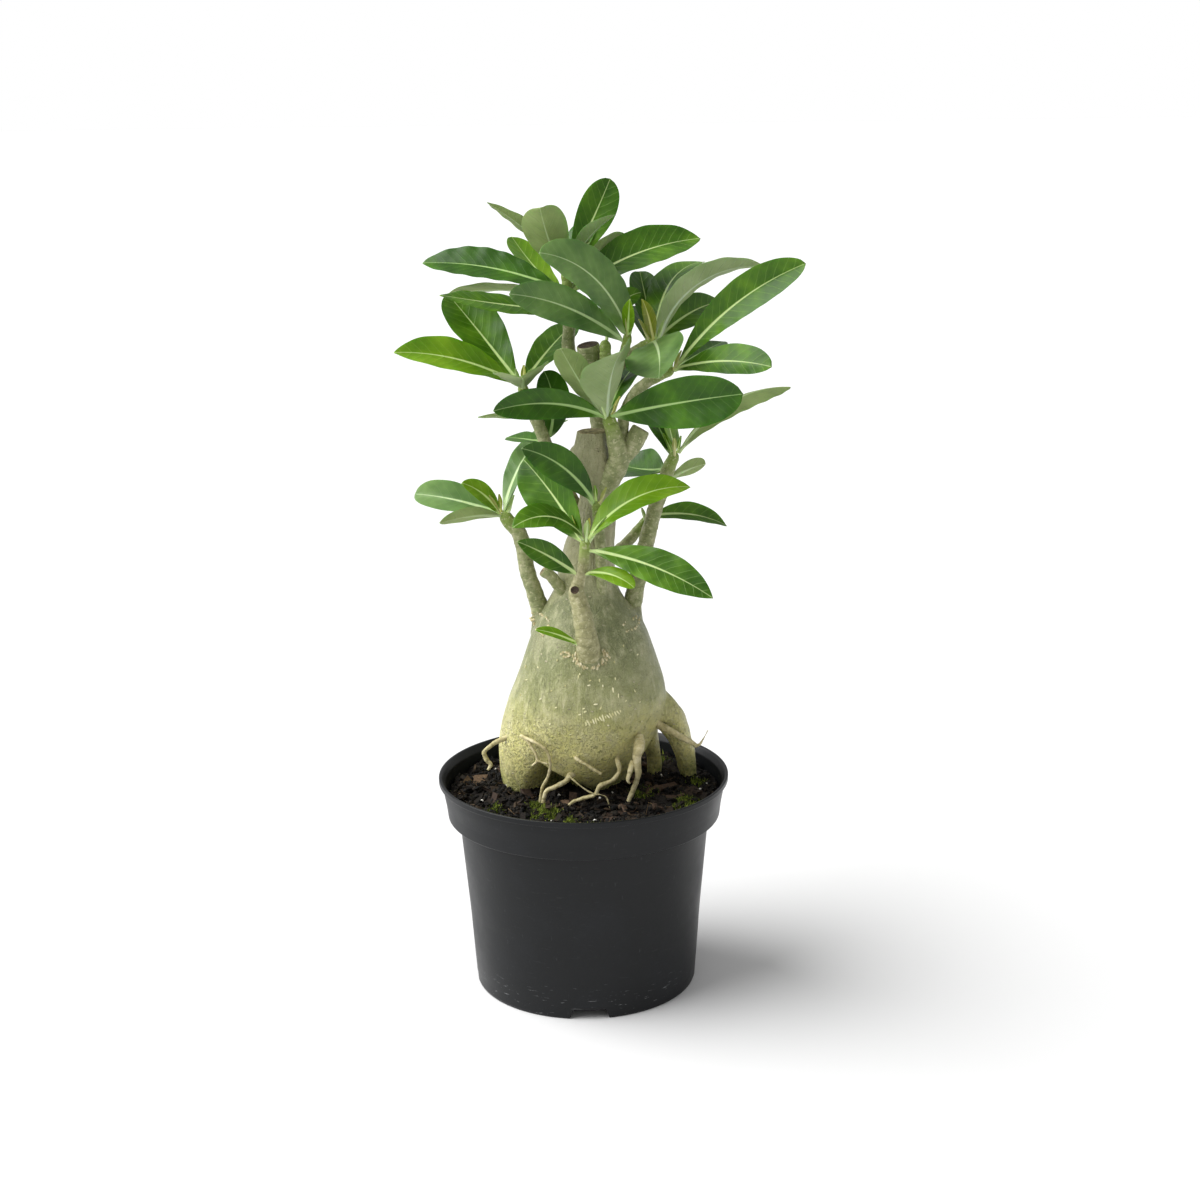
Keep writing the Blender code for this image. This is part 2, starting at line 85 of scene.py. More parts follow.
def ripple(points: Array, wavelength: float, seed: int, waves: int = 9) -> Array:
    """Smooth seeded noise: the mean of sines in random directions.

    Args:
        points: (..., 3) positions.
        wavelength: typical distance between crests, in the points' unit.
        seed: fixes the directions, lengths and phases.
        waves: how many sines are summed.

    Returns:
        Values of about -1 to 1, one per point.
    """
    rng = np.random.default_rng(seed)
    direction = rng.normal(size=(waves, 3))
    direction /= np.linalg.norm(direction, axis=1, keepdims=True)
    length = wavelength * rng.uniform(0.7, 1.5, waves)
    phase = rng.uniform(0, TAU, waves)
    turns = points @ (direction * (TAU / length)[:, None]).T + phase
    return np.sin(turns).sum(axis=-1) / math.sqrt(waves / 2) * 0.6


def through(points: Array, at: Array) -> Array:
    """Smooth curve through points: cubic Hermite with central-difference slopes.

    Args:
        points: (n, k) values at positions 0 to n - 1.
        at: positions to read, 0 to n - 1.

    Returns:
        (len(at), k) values.
    """
    slope = np.gradient(points, axis=0)
    i = np.clip(at.astype(int), 0, len(points) - 2)
    t = (at - i)[:, None]
    return ((2 * t**3 - 3 * t**2 + 1) * points[i] + (t**3 - 2 * t**2 + t) * slope[i]
            + (3 * t**2 - 2 * t**3) * points[i + 1] + (t**3 - t**2) * slope[i + 1])


def rings_mesh(name: str, grid: Array) -> bpy.types.Mesh:
    """Skin a closed surface of rings, one pole point at each end.

    Args:
        name: mesh name.
        grid: (rows, columns, 3) points in mm; columns run round, rows run along.
            The first and last rows are shrunk to their mean as poles.

    Returns:
        A mesh in metres with a UV map of (turns round, share along).
    """
    rows, cols = grid.shape[:2]
    start, end = grid[0].mean(axis=0), grid[-1].mean(axis=0)
    body = grid[1:-1].reshape(-1, 3)
    verts = np.vstack([body, start, end]) * MM
    a = (np.arange(rows - 3)[:, None] * cols + np.arange(cols)[None, :]).ravel()
    b = (np.arange(rows - 3)[:, None] * cols + (np.arange(cols)[None, :] + 1) % cols).ravel()
    quads = np.stack([a, b, b + cols, a + cols], axis=1)
    k = np.arange(cols)
    low = np.stack([(k + 1) % cols, k, np.full(cols, len(body))], axis=1)
    top = (rows - 3) * cols
    high = np.stack([top + k, top + (k + 1) % cols, np.full(cols, len(body) + 1)], axis=1)
    return make_mesh(name, verts, quads, np.vstack([low, high]))


def make_mesh(name: str, verts: Array, quads: Array | None, tris: Array | None = None,
              flat: bool = False) -> bpy.types.Mesh:
    """Fill a mesh from whole arrays of points and faces.

    Args:
        name: mesh name.
        verts: (n, 3) points in metres.
        quads: (m, 4) corner indices, or None.
        tris: (k, 3) corner indices, or None.
        flat: True for facets, False for smooth shading.

    Returns:
        The filled mesh.
    """
    parts = [f for f in (quads, tris) if f is not None and len(f)]
    corners = np.concatenate([f.ravel() for f in parts]).astype(np.int32)
    sizes = np.concatenate([np.full(len(f), f.shape[1]) for f in parts])
    starts = (np.cumsum(sizes) - sizes).astype(np.int32)
    mesh = bpy.data.meshes.new(name)
    mesh.vertices.add(len(verts))
    mesh.vertices.foreach_set("co", np.ascontiguousarray(verts, dtype=np.float32).ravel())
    mesh.loops.add(len(corners))
    mesh.loops.foreach_set("vertex_index", corners)
    mesh.polygons.add(len(sizes))
    mesh.polygons.foreach_set("loop_start", starts)
    mesh.polygons.foreach_set("use_smooth", np.full(len(sizes), not flat))
    mesh.update(calc_edges=True)
    mesh.validate()
    return mesh


def set_uv(mesh: bpy.types.Mesh, per_vertex: Array) -> None:
    """Write a UV map from one (u, v) pair per vertex."""
    layer = mesh.uv_layers.new(name="surface")
    index = np.empty(len(mesh.loops), dtype=np.int32)
    mesh.loops.foreach_get("vertex_index", index)
    layer.data.foreach_set("uv", per_vertex[index].astype(np.float32).ravel())


def set_attribute(mesh: bpy.types.Mesh, name: str, values: Array) -> None:
    """Write one float per vertex under a name that materials read."""
    layer = mesh.attributes.new(name, "FLOAT", "POINT")
    layer.data.foreach_set("value", values.astype(np.float32).ravel())


def scatter_mesh(name: str, shape: Array, faces: Array, places: Array, turns: Array,
                 sizes: Array, seed: int, rough: float = 0.0) -> bpy.types.Mesh:
    """Copy one small shape to many places as a single mesh.

    Args:
        name: mesh name.
        shape: (v, 3) points of the unit shape.
        faces: (f, 3 or 4) corner indices of the unit shape.
        places: (n, 3) centres in mm.
        turns: (n, 3) Euler turns in radians.
        sizes: (n, 3) half-sizes in mm.
        seed: fixes the jitter.
        rough: share of the size by which each corner is moved.

    Returns:
        The merged mesh; every vertex carries its copy's shade, 0 to 1, as "shade".
    """
    rng = np.random.default_rng(seed)
    n, v = len(places), len(shape)
    points = shape[None] * (1 + rough * rng.uniform(-1, 1, (n, v, 3)))
    points = points * sizes[:, None, :]
    cx, cy, cz = np.cos(turns).T
    sx, sy, sz = np.sin(turns).T
    spin = np.stack([
        np.stack([cy * cz, sx * sy * cz - cx * sz, cx * sy * cz + sx * sz], -1),
        np.stack([cy * sz, sx * sy * sz + cx * cz, cx * sy * sz - sx * cz], -1),
        np.stack([-sy, sx * cy, cx * cy], -1)], axis=1)
    points = np.einsum("nij,nvj->nvi", spin, points) + places[:, None, :]
    every = (faces[None] + (np.arange(n) * v)[:, None, None]).reshape(-1, faces.shape[1])
    quads, tris = (every, None) if faces.shape[1] == 4 else (None, every)
    mesh = make_mesh(name, points.reshape(-1, 3) * MM, quads, tris, flat=True)
    set_attribute(mesh, "shade", np.repeat(rng.uniform(0, 1, n), v))
    return mesh


BLOCK = np.array([[-1, -1, -1], [1, -1, -1], [1, 1, -1], [-1, 1, -1],
                  [-1, -1, 1], [1, -1, 1], [1, 1, 1], [-1, 1, 1]]) * 0.8
BLOCK_FACES = np.array([[0, 3, 2, 1], [4, 5, 6, 7], [0, 1, 5, 4], [1, 2, 6, 5],
                        [2, 3, 7, 6], [3, 0, 4, 7]])
GOLDEN = (1 + 5 ** 0.5) / 2
LUMP = np.array([[-1, GOLDEN, 0], [1, GOLDEN, 0], [-1, -GOLDEN, 0], [1, -GOLDEN, 0],
                 [0, -1, GOLDEN], [0, 1, GOLDEN], [0, -1, -GOLDEN], [0, 1, -GOLDEN],
                 [GOLDEN, 0, -1], [GOLDEN, 0, 1], [-GOLDEN, 0, -1], [-GOLDEN, 0, 1]]) / 1.902
LUMP_FACES = np.array([[0, 11, 5], [0, 5, 1], [0, 1, 7], [0, 7, 10], [0, 10, 11],
                       [1, 5, 9], [5, 11, 4], [11, 10, 2], [10, 7, 6], [7, 1, 8],
                       [3, 9, 4], [3, 4, 2], [3, 2, 6], [3, 6, 8], [3, 8, 9],
                       [4, 9, 5], [2, 4, 11], [6, 2, 10], [8, 6, 7], [9, 8, 1]])


def hung(name: str, data: bpy.types.ID) -> bpy.types.Object:
    """Put data in the scene as an object at the origin."""
    made = bpy.data.objects.new(name, data)
    bpy.context.scene.collection.objects.link(made)
    return made


def place(mesh: bpy.types.Mesh, materials: Sequence[bpy.types.Material],
          replaces: Sequence[str] = ()) -> bpy.types.Object:
    """Put a finished mesh in the scene as a piece of the plant.

    Args:
        mesh: mesh whose points are already in place.
        materials: finishes in slot order.
        replaces: frame nodes the piece stands for.

    Returns:
        The new object, riding on the root body.
    """
    piece = hung(mesh.name, mesh)
    for finish in materials:
        mesh.materials.append(finish)
    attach(piece, "root")
    if replaces:
        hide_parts(*replaces)
    LOG.info("%s: %d points, %d faces", piece.name, len(mesh.vertices), len(mesh.polygons))
    return piece


# --------------------------------------------------------------------------- node helper
def add(tree: bpy.types.NodeTree, kind: str, links: Mapping[str | int, object] | None = None,
        **settings: object) -> bpy.types.Node:
    """Add one shader node with its settings and inputs.

    Args:
        tree: node tree of the material.
        kind: node type without its "ShaderNode" prefix.
        links: input name or index to a socket, which is linked, or to a plain value.
        settings: properties set on the node itself.

    Returns:
        The new node.
    """
    node = tree.nodes.new("ShaderNode" + kind)
    for key, value in settings.items():
        setattr(node, key, value)
    feed(tree, node, links or {})
    return node


def feed(tree: bpy.types.NodeTree, node: bpy.types.Node,
         inputs: Mapping[str | int, object]) -> None:
    """Link or set a node's inputs: a socket is linked, anything else is a plain value."""
    for key, value in inputs.items():
        if isinstance(value, Socket):
            tree.links.new(value, node.inputs[key])
        else:
            node.inputs[key].default_value = value


def blank(name: str) -> tuple[bpy.types.Material, bpy.types.NodeTree, bpy.types.Node]:
    """Start a material and return it with its tree and its Principled shader."""
    mat = bpy.data.materials.new(name)
    mat.use_nodes = True
    return mat, mat.node_tree, mat.node_tree.nodes["Principled BSDF"]


def spot_of(tree: bpy.types.NodeTree) -> Socket:
    """Position on the piece in metres."""
    return add(tree, "TexCoord").outputs["Object"]


def ramp(tree: bpy.types.NodeTree, fac: Socket,
         stops: Sequence[tuple[float, str]]) -> Socket:
    """Map a value to colours held at positions from 0 to 1.

    Args:
        tree: node tree of the material.
        fac: value to map.
        stops: position and hex colour of each stop.

    Returns:
        The colour socket.
    """
    node = add(tree, "ValToRGB", {"Fac": fac})
    band = node.color_ramp
    while len(band.elements) < len(stops):
        band.elements.new(0.5)
    for element, (position, colour) in zip(band.elements, stops):
        element.position = position
        element.color = linear(colour)
    return node.outputs["Color"]


def span(tree: bpy.types.NodeTree, value: Socket, low: float, high: float,
         to_low: float = 0.0, to_high: float = 1.0) -> Socket:
    """Rescale a value smoothly from low..high to to_low..to_high, held outside."""
    return add(tree, "MapRange", {"Value": value, "From Min": low, "From Max": high,
                                  "To Min": to_low, "To Max": to_high},
               interpolation_type="SMOOTHSTEP").outputs["Result"]


def maths(tree: bpy.types.NodeTree, operation: str, a: Socket | float,
          b: Socket | float = 0.0) -> Socket:
    """Combine two values with one arithmetic operation."""
    return add(tree, "Math", {0: a, 1: b}, operation=operation).outputs[0]


def times(tree: bpy.types.NodeTree, a: Socket | float, b: Socket | float) -> Socket:
    """Multiply two values."""
    return maths(tree, "MULTIPLY", a, b)


def plus(tree: bpy.types.NodeTree, a: Socket | float, b: Socket | float) -> Socket:
    """Add two values."""
    return maths(tree, "ADD", a, b)


def minus(tree: bpy.types.NodeTree, a: Socket | float, b: Socket | float) -> Socket:
    """Take the second value from the first."""
    return maths(tree, "SUBTRACT", a, b)


def layers(tree: bpy.types.NodeTree, *shares: tuple[Socket, float]) -> Socket:
    """Add up heights, each one times its share."""
    total, *rest = (times(tree, height, share) for height, share in shares)
    for height in rest:
        total = plus(tree, total, height)
    return total


def blend(tree: bpy.types.NodeTree, fac: Socket | float, a: Socket | tuple,
          b: Socket | tuple) -> Socket:
    """Mix two colours by a factor."""
    node = add(tree, "Mix", data_type="RGBA")
    feed(tree, node, {0: fac, 6: a, 7: b})
    return node.outputs[2]


def tint(tree: bpy.types.NodeTree, base: Socket, colour: str, mask: Socket,
         share: Socket | float = 1.0) -> Socket:
    """Lay a hex colour over a base where a mask is high, at a share of full strength."""
    fac = mask if share == 1.0 else times(tree, mask, share)
    return blend(tree, fac, base, linear(colour))


def stretch(tree: bpy.types.NodeTree, where: Socket,
            share: tuple[float, float, float]) -> Socket:
    """Multiply a position by a share per axis; a small share draws a pattern out along it."""
    return add(tree, "VectorMath", {0: where, 1: share}, operation="MULTIPLY").outputs[0]


def relief(tree: bpy.types.NodeTree, height: Socket, depth: float) -> Socket:
    """Turn a height into a bumped normal, depth in metres for a height of 1."""
    links = {"Height": height, "Distance": depth, "Strength": 1.0}
    return add(tree, "Bump", links).outputs["Normal"]


def noise(tree: bpy.types.NodeTree, where: Socket, period: float, detail: float = 3.0,
          roughness: float = 0.5) -> Socket:
    """Noise whose features are about one period, in metres, across."""
    return add(tree, "TexNoise", {"Vector": where, "Scale": 1 / period, "Detail": detail,
                                  "Roughness": roughness}).outputs["Fac"]


# --------------------------------------------------------------------------- finishes
@dataclass(frozen=True)
class MouldedPolypropylene:
    """Injection-moulded polypropylene: satin charcoal with a faint eggshell grain."""

    colour: str = "#0E1012"
    worn: str = "#16181B"
    roughness: float = 0.40

    def build(self) -> bpy.types.Material:
        """Build the material.

        Returns:
            Charcoal satin plastic with cloudy handling marks and fine scuffs.
        """
        mat, tree, shader = blank("moulded_polypropylene")
        where = spot_of(tree)
        cloud = noise(tree, where, 0.035, 4, 0.6)
        long = stretch(tree, where, (1.0, 1.0, 0.25))
        scuff = span(tree, noise(tree, long, 0.0016, 2, 0.4), 0.70, 0.80)
        dusty = span(tree, cloud, 0.45, 0.75)
        shade = blend(tree, dusty, linear(self.colour), linear(self.worn))
        shade = tint(tree, shade, "#6A6C70", scuff, 0.10)
        height = add(tree, "SeparateXYZ", {0: where}).outputs["Z"]
        wide = stretch(tree, where, (0.3, 0.3, 2.2))
        rub = span(tree, noise(tree, wide, 0.0022, 3, 0.7), 0.63, 0.70)
        rub = times(tree, rub, span(tree, height, 0.006, 0.022, 0.34, 0.02))
        shade = tint(tree, shade, "#A8AAAC", rub)
        feed(tree, shader, {
            "Base Color": shade,
            "Roughness": span(tree, cloud, 0.3, 0.8, self.roughness - 0.05, self.roughness + 0.10),
            "IOR": 1.49,
            "Specular IOR Level": 0.27})
        grain = noise(tree, where, 0.0009, 1, 0.5)
        feed(tree, shader, {"Normal": relief(tree, grain, 0.00003)})
        return mat


@dataclass(frozen=True)
class LoosePeat:
    """Moist peat: near-black brown crumbs with a slight wet glint."""

    dark: str = "#080604"
    light: str = "#20160F"

    def build(self) -> bpy.types.Material:
        """Build the material.

        Returns:
            Crumbly dark soil; crumbs are 1 to 3 mm across.
        """
        mat, tree, shader = blank("loose_peat")
        where = spot_of(tree)
        crumb = noise(tree, where, 0.0022, 5, 0.7)
        patch = noise(tree, where, 0.018, 2, 0.5)
        both = layers(tree, (crumb, 0.7), (patch, 0.35))
        colour = ramp(tree, both, ((0.32, self.dark), (0.55, "#100B08"), (0.72, self.light)))
        feed(tree, shader, {
            "Base Color": colour,
            "Roughness": 0.85,
            "Specular IOR Level": 0.2,
            "Normal": relief(tree, crumb, 0.0014)})
        return mat


@dataclass(frozen=True)
class Crumb:
    """Small loose bits whose colour varies from bit to bit by their "shade"."""

    name: str
    stops: tuple[tuple[float, str], ...]
    roughness: float = 0.8

    def build(self) -> bpy.types.Material:
        """Build the material.

        Returns:
            Matt fibrous bits, each with its own tone.
        """
        mat, tree, shader = blank(self.name)
        where = spot_of(tree)
        tone = add(tree, "Attribute", attribute_name="shade").outputs["Fac"]
        grain = noise(tree, where, 0.0012, 3, 0.6)
        mixed = layers(tree, (tone, 0.75), (grain, 0.30))
        feed(tree, shader, {
            "Base Color": ramp(tree, mixed, self.stops),
            "Roughness": self.roughness,
            "Specular IOR Level": 0.25,
            "Normal": relief(tree, grain, 0.0004)})
        return mat


@dataclass(frozen=True)
class CaudexBark:
    """Waxy living bark of a swollen stem: grey-green above, creamy green at the soil, where the pale
    cream is partly a painted highlight.
    """

    high: str = "#7E8456"
    middle: str = "#94975A"
    # yellow-green lower bark, made paler than its own colour to paint the highlight on the lit lower
    # side
    low: str = "#F6EF9A"
    pale: str = "#DDD8AE"
    dark: str = "#5E6236"
    roughness: float = 0.42

    def build(self) -> bpy.types.Material:
        """Build the material.

        Returns:
            Thin smooth bark with upright hairline fissures, blotches and pale corky specks; low down,
            raised grain carries a painted highlight and its pits painted shade.
        """
        mat, tree, shader = blank("caudex_bark")
        where = spot_of(tree)
        height = add(tree, "SeparateXYZ", {0: where}).outputs["Z"]
        drift = noise(tree, where, 0.034, 3, 0.55)
        level = plus(tree, height, times(tree, drift, 0.034))
        climb = span(tree, level, 0.140, 0.215)
        # the low stop holds the real yellow-green lower bark and a painted highlight
        base = ramp(tree, climb, ((0.0, self.low), (0.45, self.middle), (1.0, self.high)))
        blotch = span(tree, noise(tree, where, 0.014, 5, 0.65), 0.42, 0.66)
        base = tint(tree, base, self.pale, blotch, 0.30)
        rugged = span(tree, level, 0.161, 0.172, 1.0, 0.0)
        mottle = span(tree, noise(tree, where, 0.0038, 5, 0.7), 0.48, 0.70)
        smooth = minus(tree, 1.0, rugged)
        dapple = times(tree, mottle, span(tree, smooth, 0.0, 1.0, 0.12, 0.34))
        base = tint(tree, base, self.dark, dapple)
        worm = noise(tree, where, 0.0023, 4, 0.60)
        # low on the stem, raised grain is painted lighter (painted highlight) and sunken pits darker
        # (painted shade); both also shape the bump
        ridge_painted_highlight = times(tree, span(tree, worm, 0.51, 0.60), rugged)
        pit_painted_shade = times(tree, span(tree, worm, 0.41, 0.34), rugged)
        base = tint(tree, base, "#E9E3A4", ridge_painted_highlight, 0.40)
        base = tint(tree, base, "#7A7A38", pit_painted_shade, 0.55)
        streak = stretch(tree, where, (1.0, 1.0, 0.3))
        veil = noise(tree, streak, 0.0045, 4, 0.6)
        shadow = times(tree, span(tree, veil, 0.50, 0.68, 0.0, 0.30), smooth)
        base = tint(tree, base, self.dark, shadow)
        base = tint(tree, base, self.pale, span(tree, veil, 0.46, 0.32, 0.0, 0.34))
        grit = noise(tree, where, 0.0011, 3, 0.7)
        base = tint(tree, base, self.pale, span(tree, grit, 0.52, 0.70, 0.0, 0.28))
        tall = stretch(tree, where, (1.0, 1.0, 0.16))
        crack = add(tree, "TexVoronoi", {"Vector": tall, "Scale": 1 / 0.0034},
                    feature="DISTANCE_TO_EDGE").outputs["Distance"]
        line = span(tree, crack, 0.0, 0.07, 1.0, 0.0)
        worn = span(tree, noise(tree, where, 0.016, 2, 0.5), 0.46, 0.64)
        line = times(tree, line, worn)
        base = tint(tree, base, "#6F7050", line, 0.12)
        some = span(tree, noise(tree, where, 0.011, 2, 0.5), 0.47, 0.56)
        cork = times(tree, self.specks(tree, where, 0.0046, 0.15), some)
        dots = self.specks(tree, where, 0.0021, 0.17)
        low = span(tree, height, 0.120, 0.165, 0.45, 0.25)
        base = tint(tree, base, "#D2CFA6", dots, low)
        base = tint(tree, base, "#D6CDA8", cork, 0.85)
        foot = span(tree, level, 0.122, 0.138, 0.90, 0.0)
        damp = times(tree, foot, span(tree, mottle, 0.0, 0.8, 0.45, 1.0))
        base = tint(tree, base, "#788624", damp)
        neck = span(tree, height, 0.205, 0.236, 0.0, 0.55)
        base = tint(tree, base, "#B3AE88", neck)
        feed(tree, shader, {
            "Base Color": base,
            "Roughness": span(tree, drift, 0.3, 0.7, self.roughness - 0.08, self.roughness + 0.10),
            "Coat Weight": 0.22,
            "Coat Roughness": 0.42,
            "Subsurface Weight": 0.06,
            "Subsurface Radius": (0.6, 0.8, 0.3),
            "Subsurface Scale": 0.002})
        skin = noise(tree, where, 0.0030, 6, 0.74)
        long_skin = noise(tree, tall, 0.0016, 4, 0.65)
        skin = plus(tree, skin, times(tree, long_skin, 0.5))
        fibre = noise(tree, tall, 0.0009, 3, 0.6)
        rise = layers(tree, (skin, 0.9), (cork, 0.7), (line, -0.2), (ridge_painted_highlight, 0.7), (pit_painted_shade, -0.7),
                      (dots, 0.3), (fibre, 0.35))
        feed(tree, shader, {"Normal": relief(tree, rise, 0.0019)})
        return mat

    @staticmethod
    def specks(tree: bpy.types.NodeTree, where: Socket, gap: float, size: float) -> Socket:
        """Corky pores: round spots about one gap apart, one in the middle of each cell.

        Args:
            tree: node tree of the material.
            where: position in metres.
            gap: distance between pores in metres.
            size: pore radius as a share of the gap.

        Returns:
            1 on a pore and 0 between pores.
        """
        flat = stretch(tree, where, (0.7, 0.7, 1.3))
        spot = add(tree, "TexVoronoi", {"Vector": flat, "Scale": 1 / gap}).outputs["Distance"]
        return span(tree, spot, size * 0.55, size, 1.0, 0.0)


@dataclass(frozen=True)
class ShootBark:
    """Young woody bark: beige-grey ringed by leaf scars, turning green at the tip.

    The UV map's V is millimetres back from the tip, over 100.
    """

    name: str = "shoot_bark"
    wood: str = "#8A9060"
    shade: str = "#727A4C"
    green: str = "#7C9438"
    pale: str = "#B2AF8A"
    ring: float = 3.6
    greening: float = 9.0

    def build(self) -> bpy.types.Material:
        """Build the material.

        Returns:
            Bark with scar rings every few millimetres and a green growing tip.
        """
        mat, tree, shader = blank(self.name)
        where = spot_of(tree)
        uv = add(tree, "UVMap", uv_map="surface").outputs["UV"]
        back = times(tree, add(tree, "SeparateXYZ", {0: uv}).outputs["Y"], 100.0)
        wobble = times(tree, noise(tree, where, 0.006, 2, 0.5), 3.0)
        turn = maths(tree, "DIVIDE", plus(tree, back, wobble), self.ring)
        beat = maths(tree, "PINGPONG", turn, 0.5)
        scar = span(tree, beat, 0.0, 0.10, 1.0, 0.0)
        blotch = noise(tree, where, 0.004, 4, 0.65)
        base = ramp(tree, blotch, ((0.30, self.shade), (0.50, self.wood), (0.72, self.pale)))
        base = tint(tree, base, "#5F5A3C", scar, 0.16)
        fresh = span(tree, back, self.greening * 0.4, self.greening * 1.7, 0.9, 0.0)
        base = tint(tree, base, self.green, fresh)
        cork = span(tree, noise(tree, where, 0.0014, 2, 0.5), 0.58, 0.68)
        base = tint(tree, base, "#C6C29C", cork, 0.55)
        feed(tree, shader, {
            "Base Color": base,
            "Roughness": 0.55})
        rough = noise(tree, where, 0.0016, 4, 0.65)
        rise = minus(tree, rough, times(tree, scar, 0.3))
        feed(tree, shader, {"Normal": relief(tree, rise, 0.0005)})
        return mat


class LeafTone(Enum):
    """How old a leaf is, which sets its greens; one grey-green tone is a painted sheen, reflected light
    laid into the colour.
    """

    MATURE = "mature"
    DEEP = "deep"
    FRESH = "fresh"
    # grey-green greens: a painted sheen, the gloss's reflected light laid into the leaf colour
    DULL = "dull"
    BRONZE = "bronze"


MATURE, DEEP, FRESH, DULL, BRONZE = LeafTone


@dataclass(frozen=True)
class LeafSkin:
    """Waxed leaf blade: coloured flesh under a clear cuticle that takes a soft gloss.

    The UV map holds millimetres over 100: U runs along the midrib and V runs
    out from it, centred on 0.5. "along" is the share of the length.
    """

    tone: LeafTone
    underside: bool
    body: tuple[str, str, str]
    rib: str
    vein: str
    roughness: float
    coat: float
    vein_gap: float = 5.2

    def build(self) -> bpy.types.Material:
        """Build the material.

        Returns:
            Green blade with a pale midrib that fades to the tip and side veins
            that leave it at a slant every few millimetres.
        """
        side = "under" if self.underside else "top"
        mat, tree, shader = blank(f"leaf_{self.tone.value}_{side}")
        where = spot_of(tree)
        uv = add(tree, "UVMap", uv_map="surface").outputs["UV"]
        parts = add(tree, "SeparateXYZ", {0: uv}).outputs
        along_mm = times(tree, parts["X"], 100.0)
        out = maths(tree, "ABSOLUTE", minus(tree, parts["Y"], 0.5))
        out_mm = times(tree, out, 100.0)
        share = add(tree, "Attribute", attribute_name="along").outputs["Fac"]
        drift = noise(tree, where, 0.012, 3, 0.55)
        lean = times(tree, maths(tree, "POWER", out_mm, 1.15), 0.72)
        step = minus(tree, along_mm, lean)
        step = plus(tree, step, times(tree, drift, 3.5))
        beat = maths(tree, "PINGPONG", maths(tree, "DIVIDE", step, self.vein_gap), 0.5)
        vein = span(tree, beat, 0.015, 0.075, 1.0, 0.0)
        fade = span(tree, out_mm, 2.0, 12.0, 1.0, 0.25)
        vein = times(tree, vein, fade)
        half = span(tree, share, 0.05, 0.97, 1.0 if self.underside else 0.85, 0.10)
        near = minus(tree, out_mm, half)
        rib = span(tree, near, -0.30, 0.25, 1.0, 0.0)
        cloud = noise(tree, where, 0.020, 3, 0.6)
        dark, mid, light = self.body
        flesh = ramp(tree, cloud, ((0.30, dark), (0.50, mid), (0.72, light)))
        swell = span(tree, beat, 0.10, 0.5)
        flesh = tint(tree, flesh, dark, swell, 0.08)
        petiole = span(tree, share, 0.02, 0.14, 0.85, 0.0)
        flesh = tint(tree, flesh, self.rib, petiole)
        flesh = tint(tree, flesh, self.vein, vein, 0.20)
        flesh = tint(tree, flesh, self.rib, rib, 0.92)
        feed(tree, shader, {
            "Base Color": flesh,
            "Roughness": span(tree, cloud, 0.3, 0.7, self.roughness - 0.05, self.roughness + 0.08),
            "Coat Weight": self.coat,
            "Coat Roughness": 0.20,
            "Specular IOR Level": 0.20,
            "Subsurface Weight": 0.10,
            "Subsurface Radius": (0.3, 1.0, 0.1),
            "Subsurface Scale": 0.0012})
        skin = noise(tree, where, 0.0011, 2, 0.5)
        push = 0.5 if self.underside else -0.22
        rise = layers(tree, (skin, 0.12), (vein, push), (swell, 0.16))
        feed(tree, shader, {"Normal": relief(tree, rise, 0.00028)})
        return mat


LEAF_BODY: dict[LeafTone, tuple[tuple[str, str, str], str, str]] = {
    MATURE: (("#2A4F07", "#41690C", "#608A18"), "#CBE098", "#8DB454"),
    DEEP: (("#224703", "#325B05", "#48760B"), "#AACA80", "#5E8436"),
    FRESH: (("#55800E", "#6B9414", "#82A81F"), "#D3EA98", "#A6C456"),
    # the dull greens paint a grey reflected sheen into the blade's colour
    DULL: (("#486834", "#5E7E42", "#789854"), "#C2D8A0", "#7E9A60"),
    BRONZE: (("#6F7A1C", "#8B9428", "#A9A83A"), "#D9D98A", "#B9B45A"),
}
UNDER_BODY: dict[LeafTone, tuple[tuple[str, str, str], str, str]] = {
    MATURE: (("#74884E", "#84975A", "#94A66A"), "#B7C996", "#9DB07C"),
    DEEP: (("#6C8450", "#7B935C", "#8BA26C"), "#AFC69A", "#96AD82"),
    FRESH: (("#86A05A", "#97B068", "#A8BE7A"), "#C6DA9E", "#AFC684"),
    # underside greens of the painted-sheen tone, greyed to match
    DULL: (("#7F9360", "#8EA06E", "#9FAF80"), "#BBCBAA", "#A6B798"),
    BRONZE: (("#8A9048", "#9AA056", "#AAAE66"), "#CACB92", "#B2B474"),
}


def leaf_finishes(tone: LeafTone) -> list[bpy.types.Material]:
    """Build the top and underside finishes of one leaf tone, in slot order."""
    made = []
    for under in (False, True):
        body, rib, vein = (UNDER_BODY if under else LEAF_BODY)[tone]
        made.append(LeafSkin(tone, under, body, rib, vein, 0.58 if under else 0.40,
                             0.0 if under else 0.11).build())
    return made


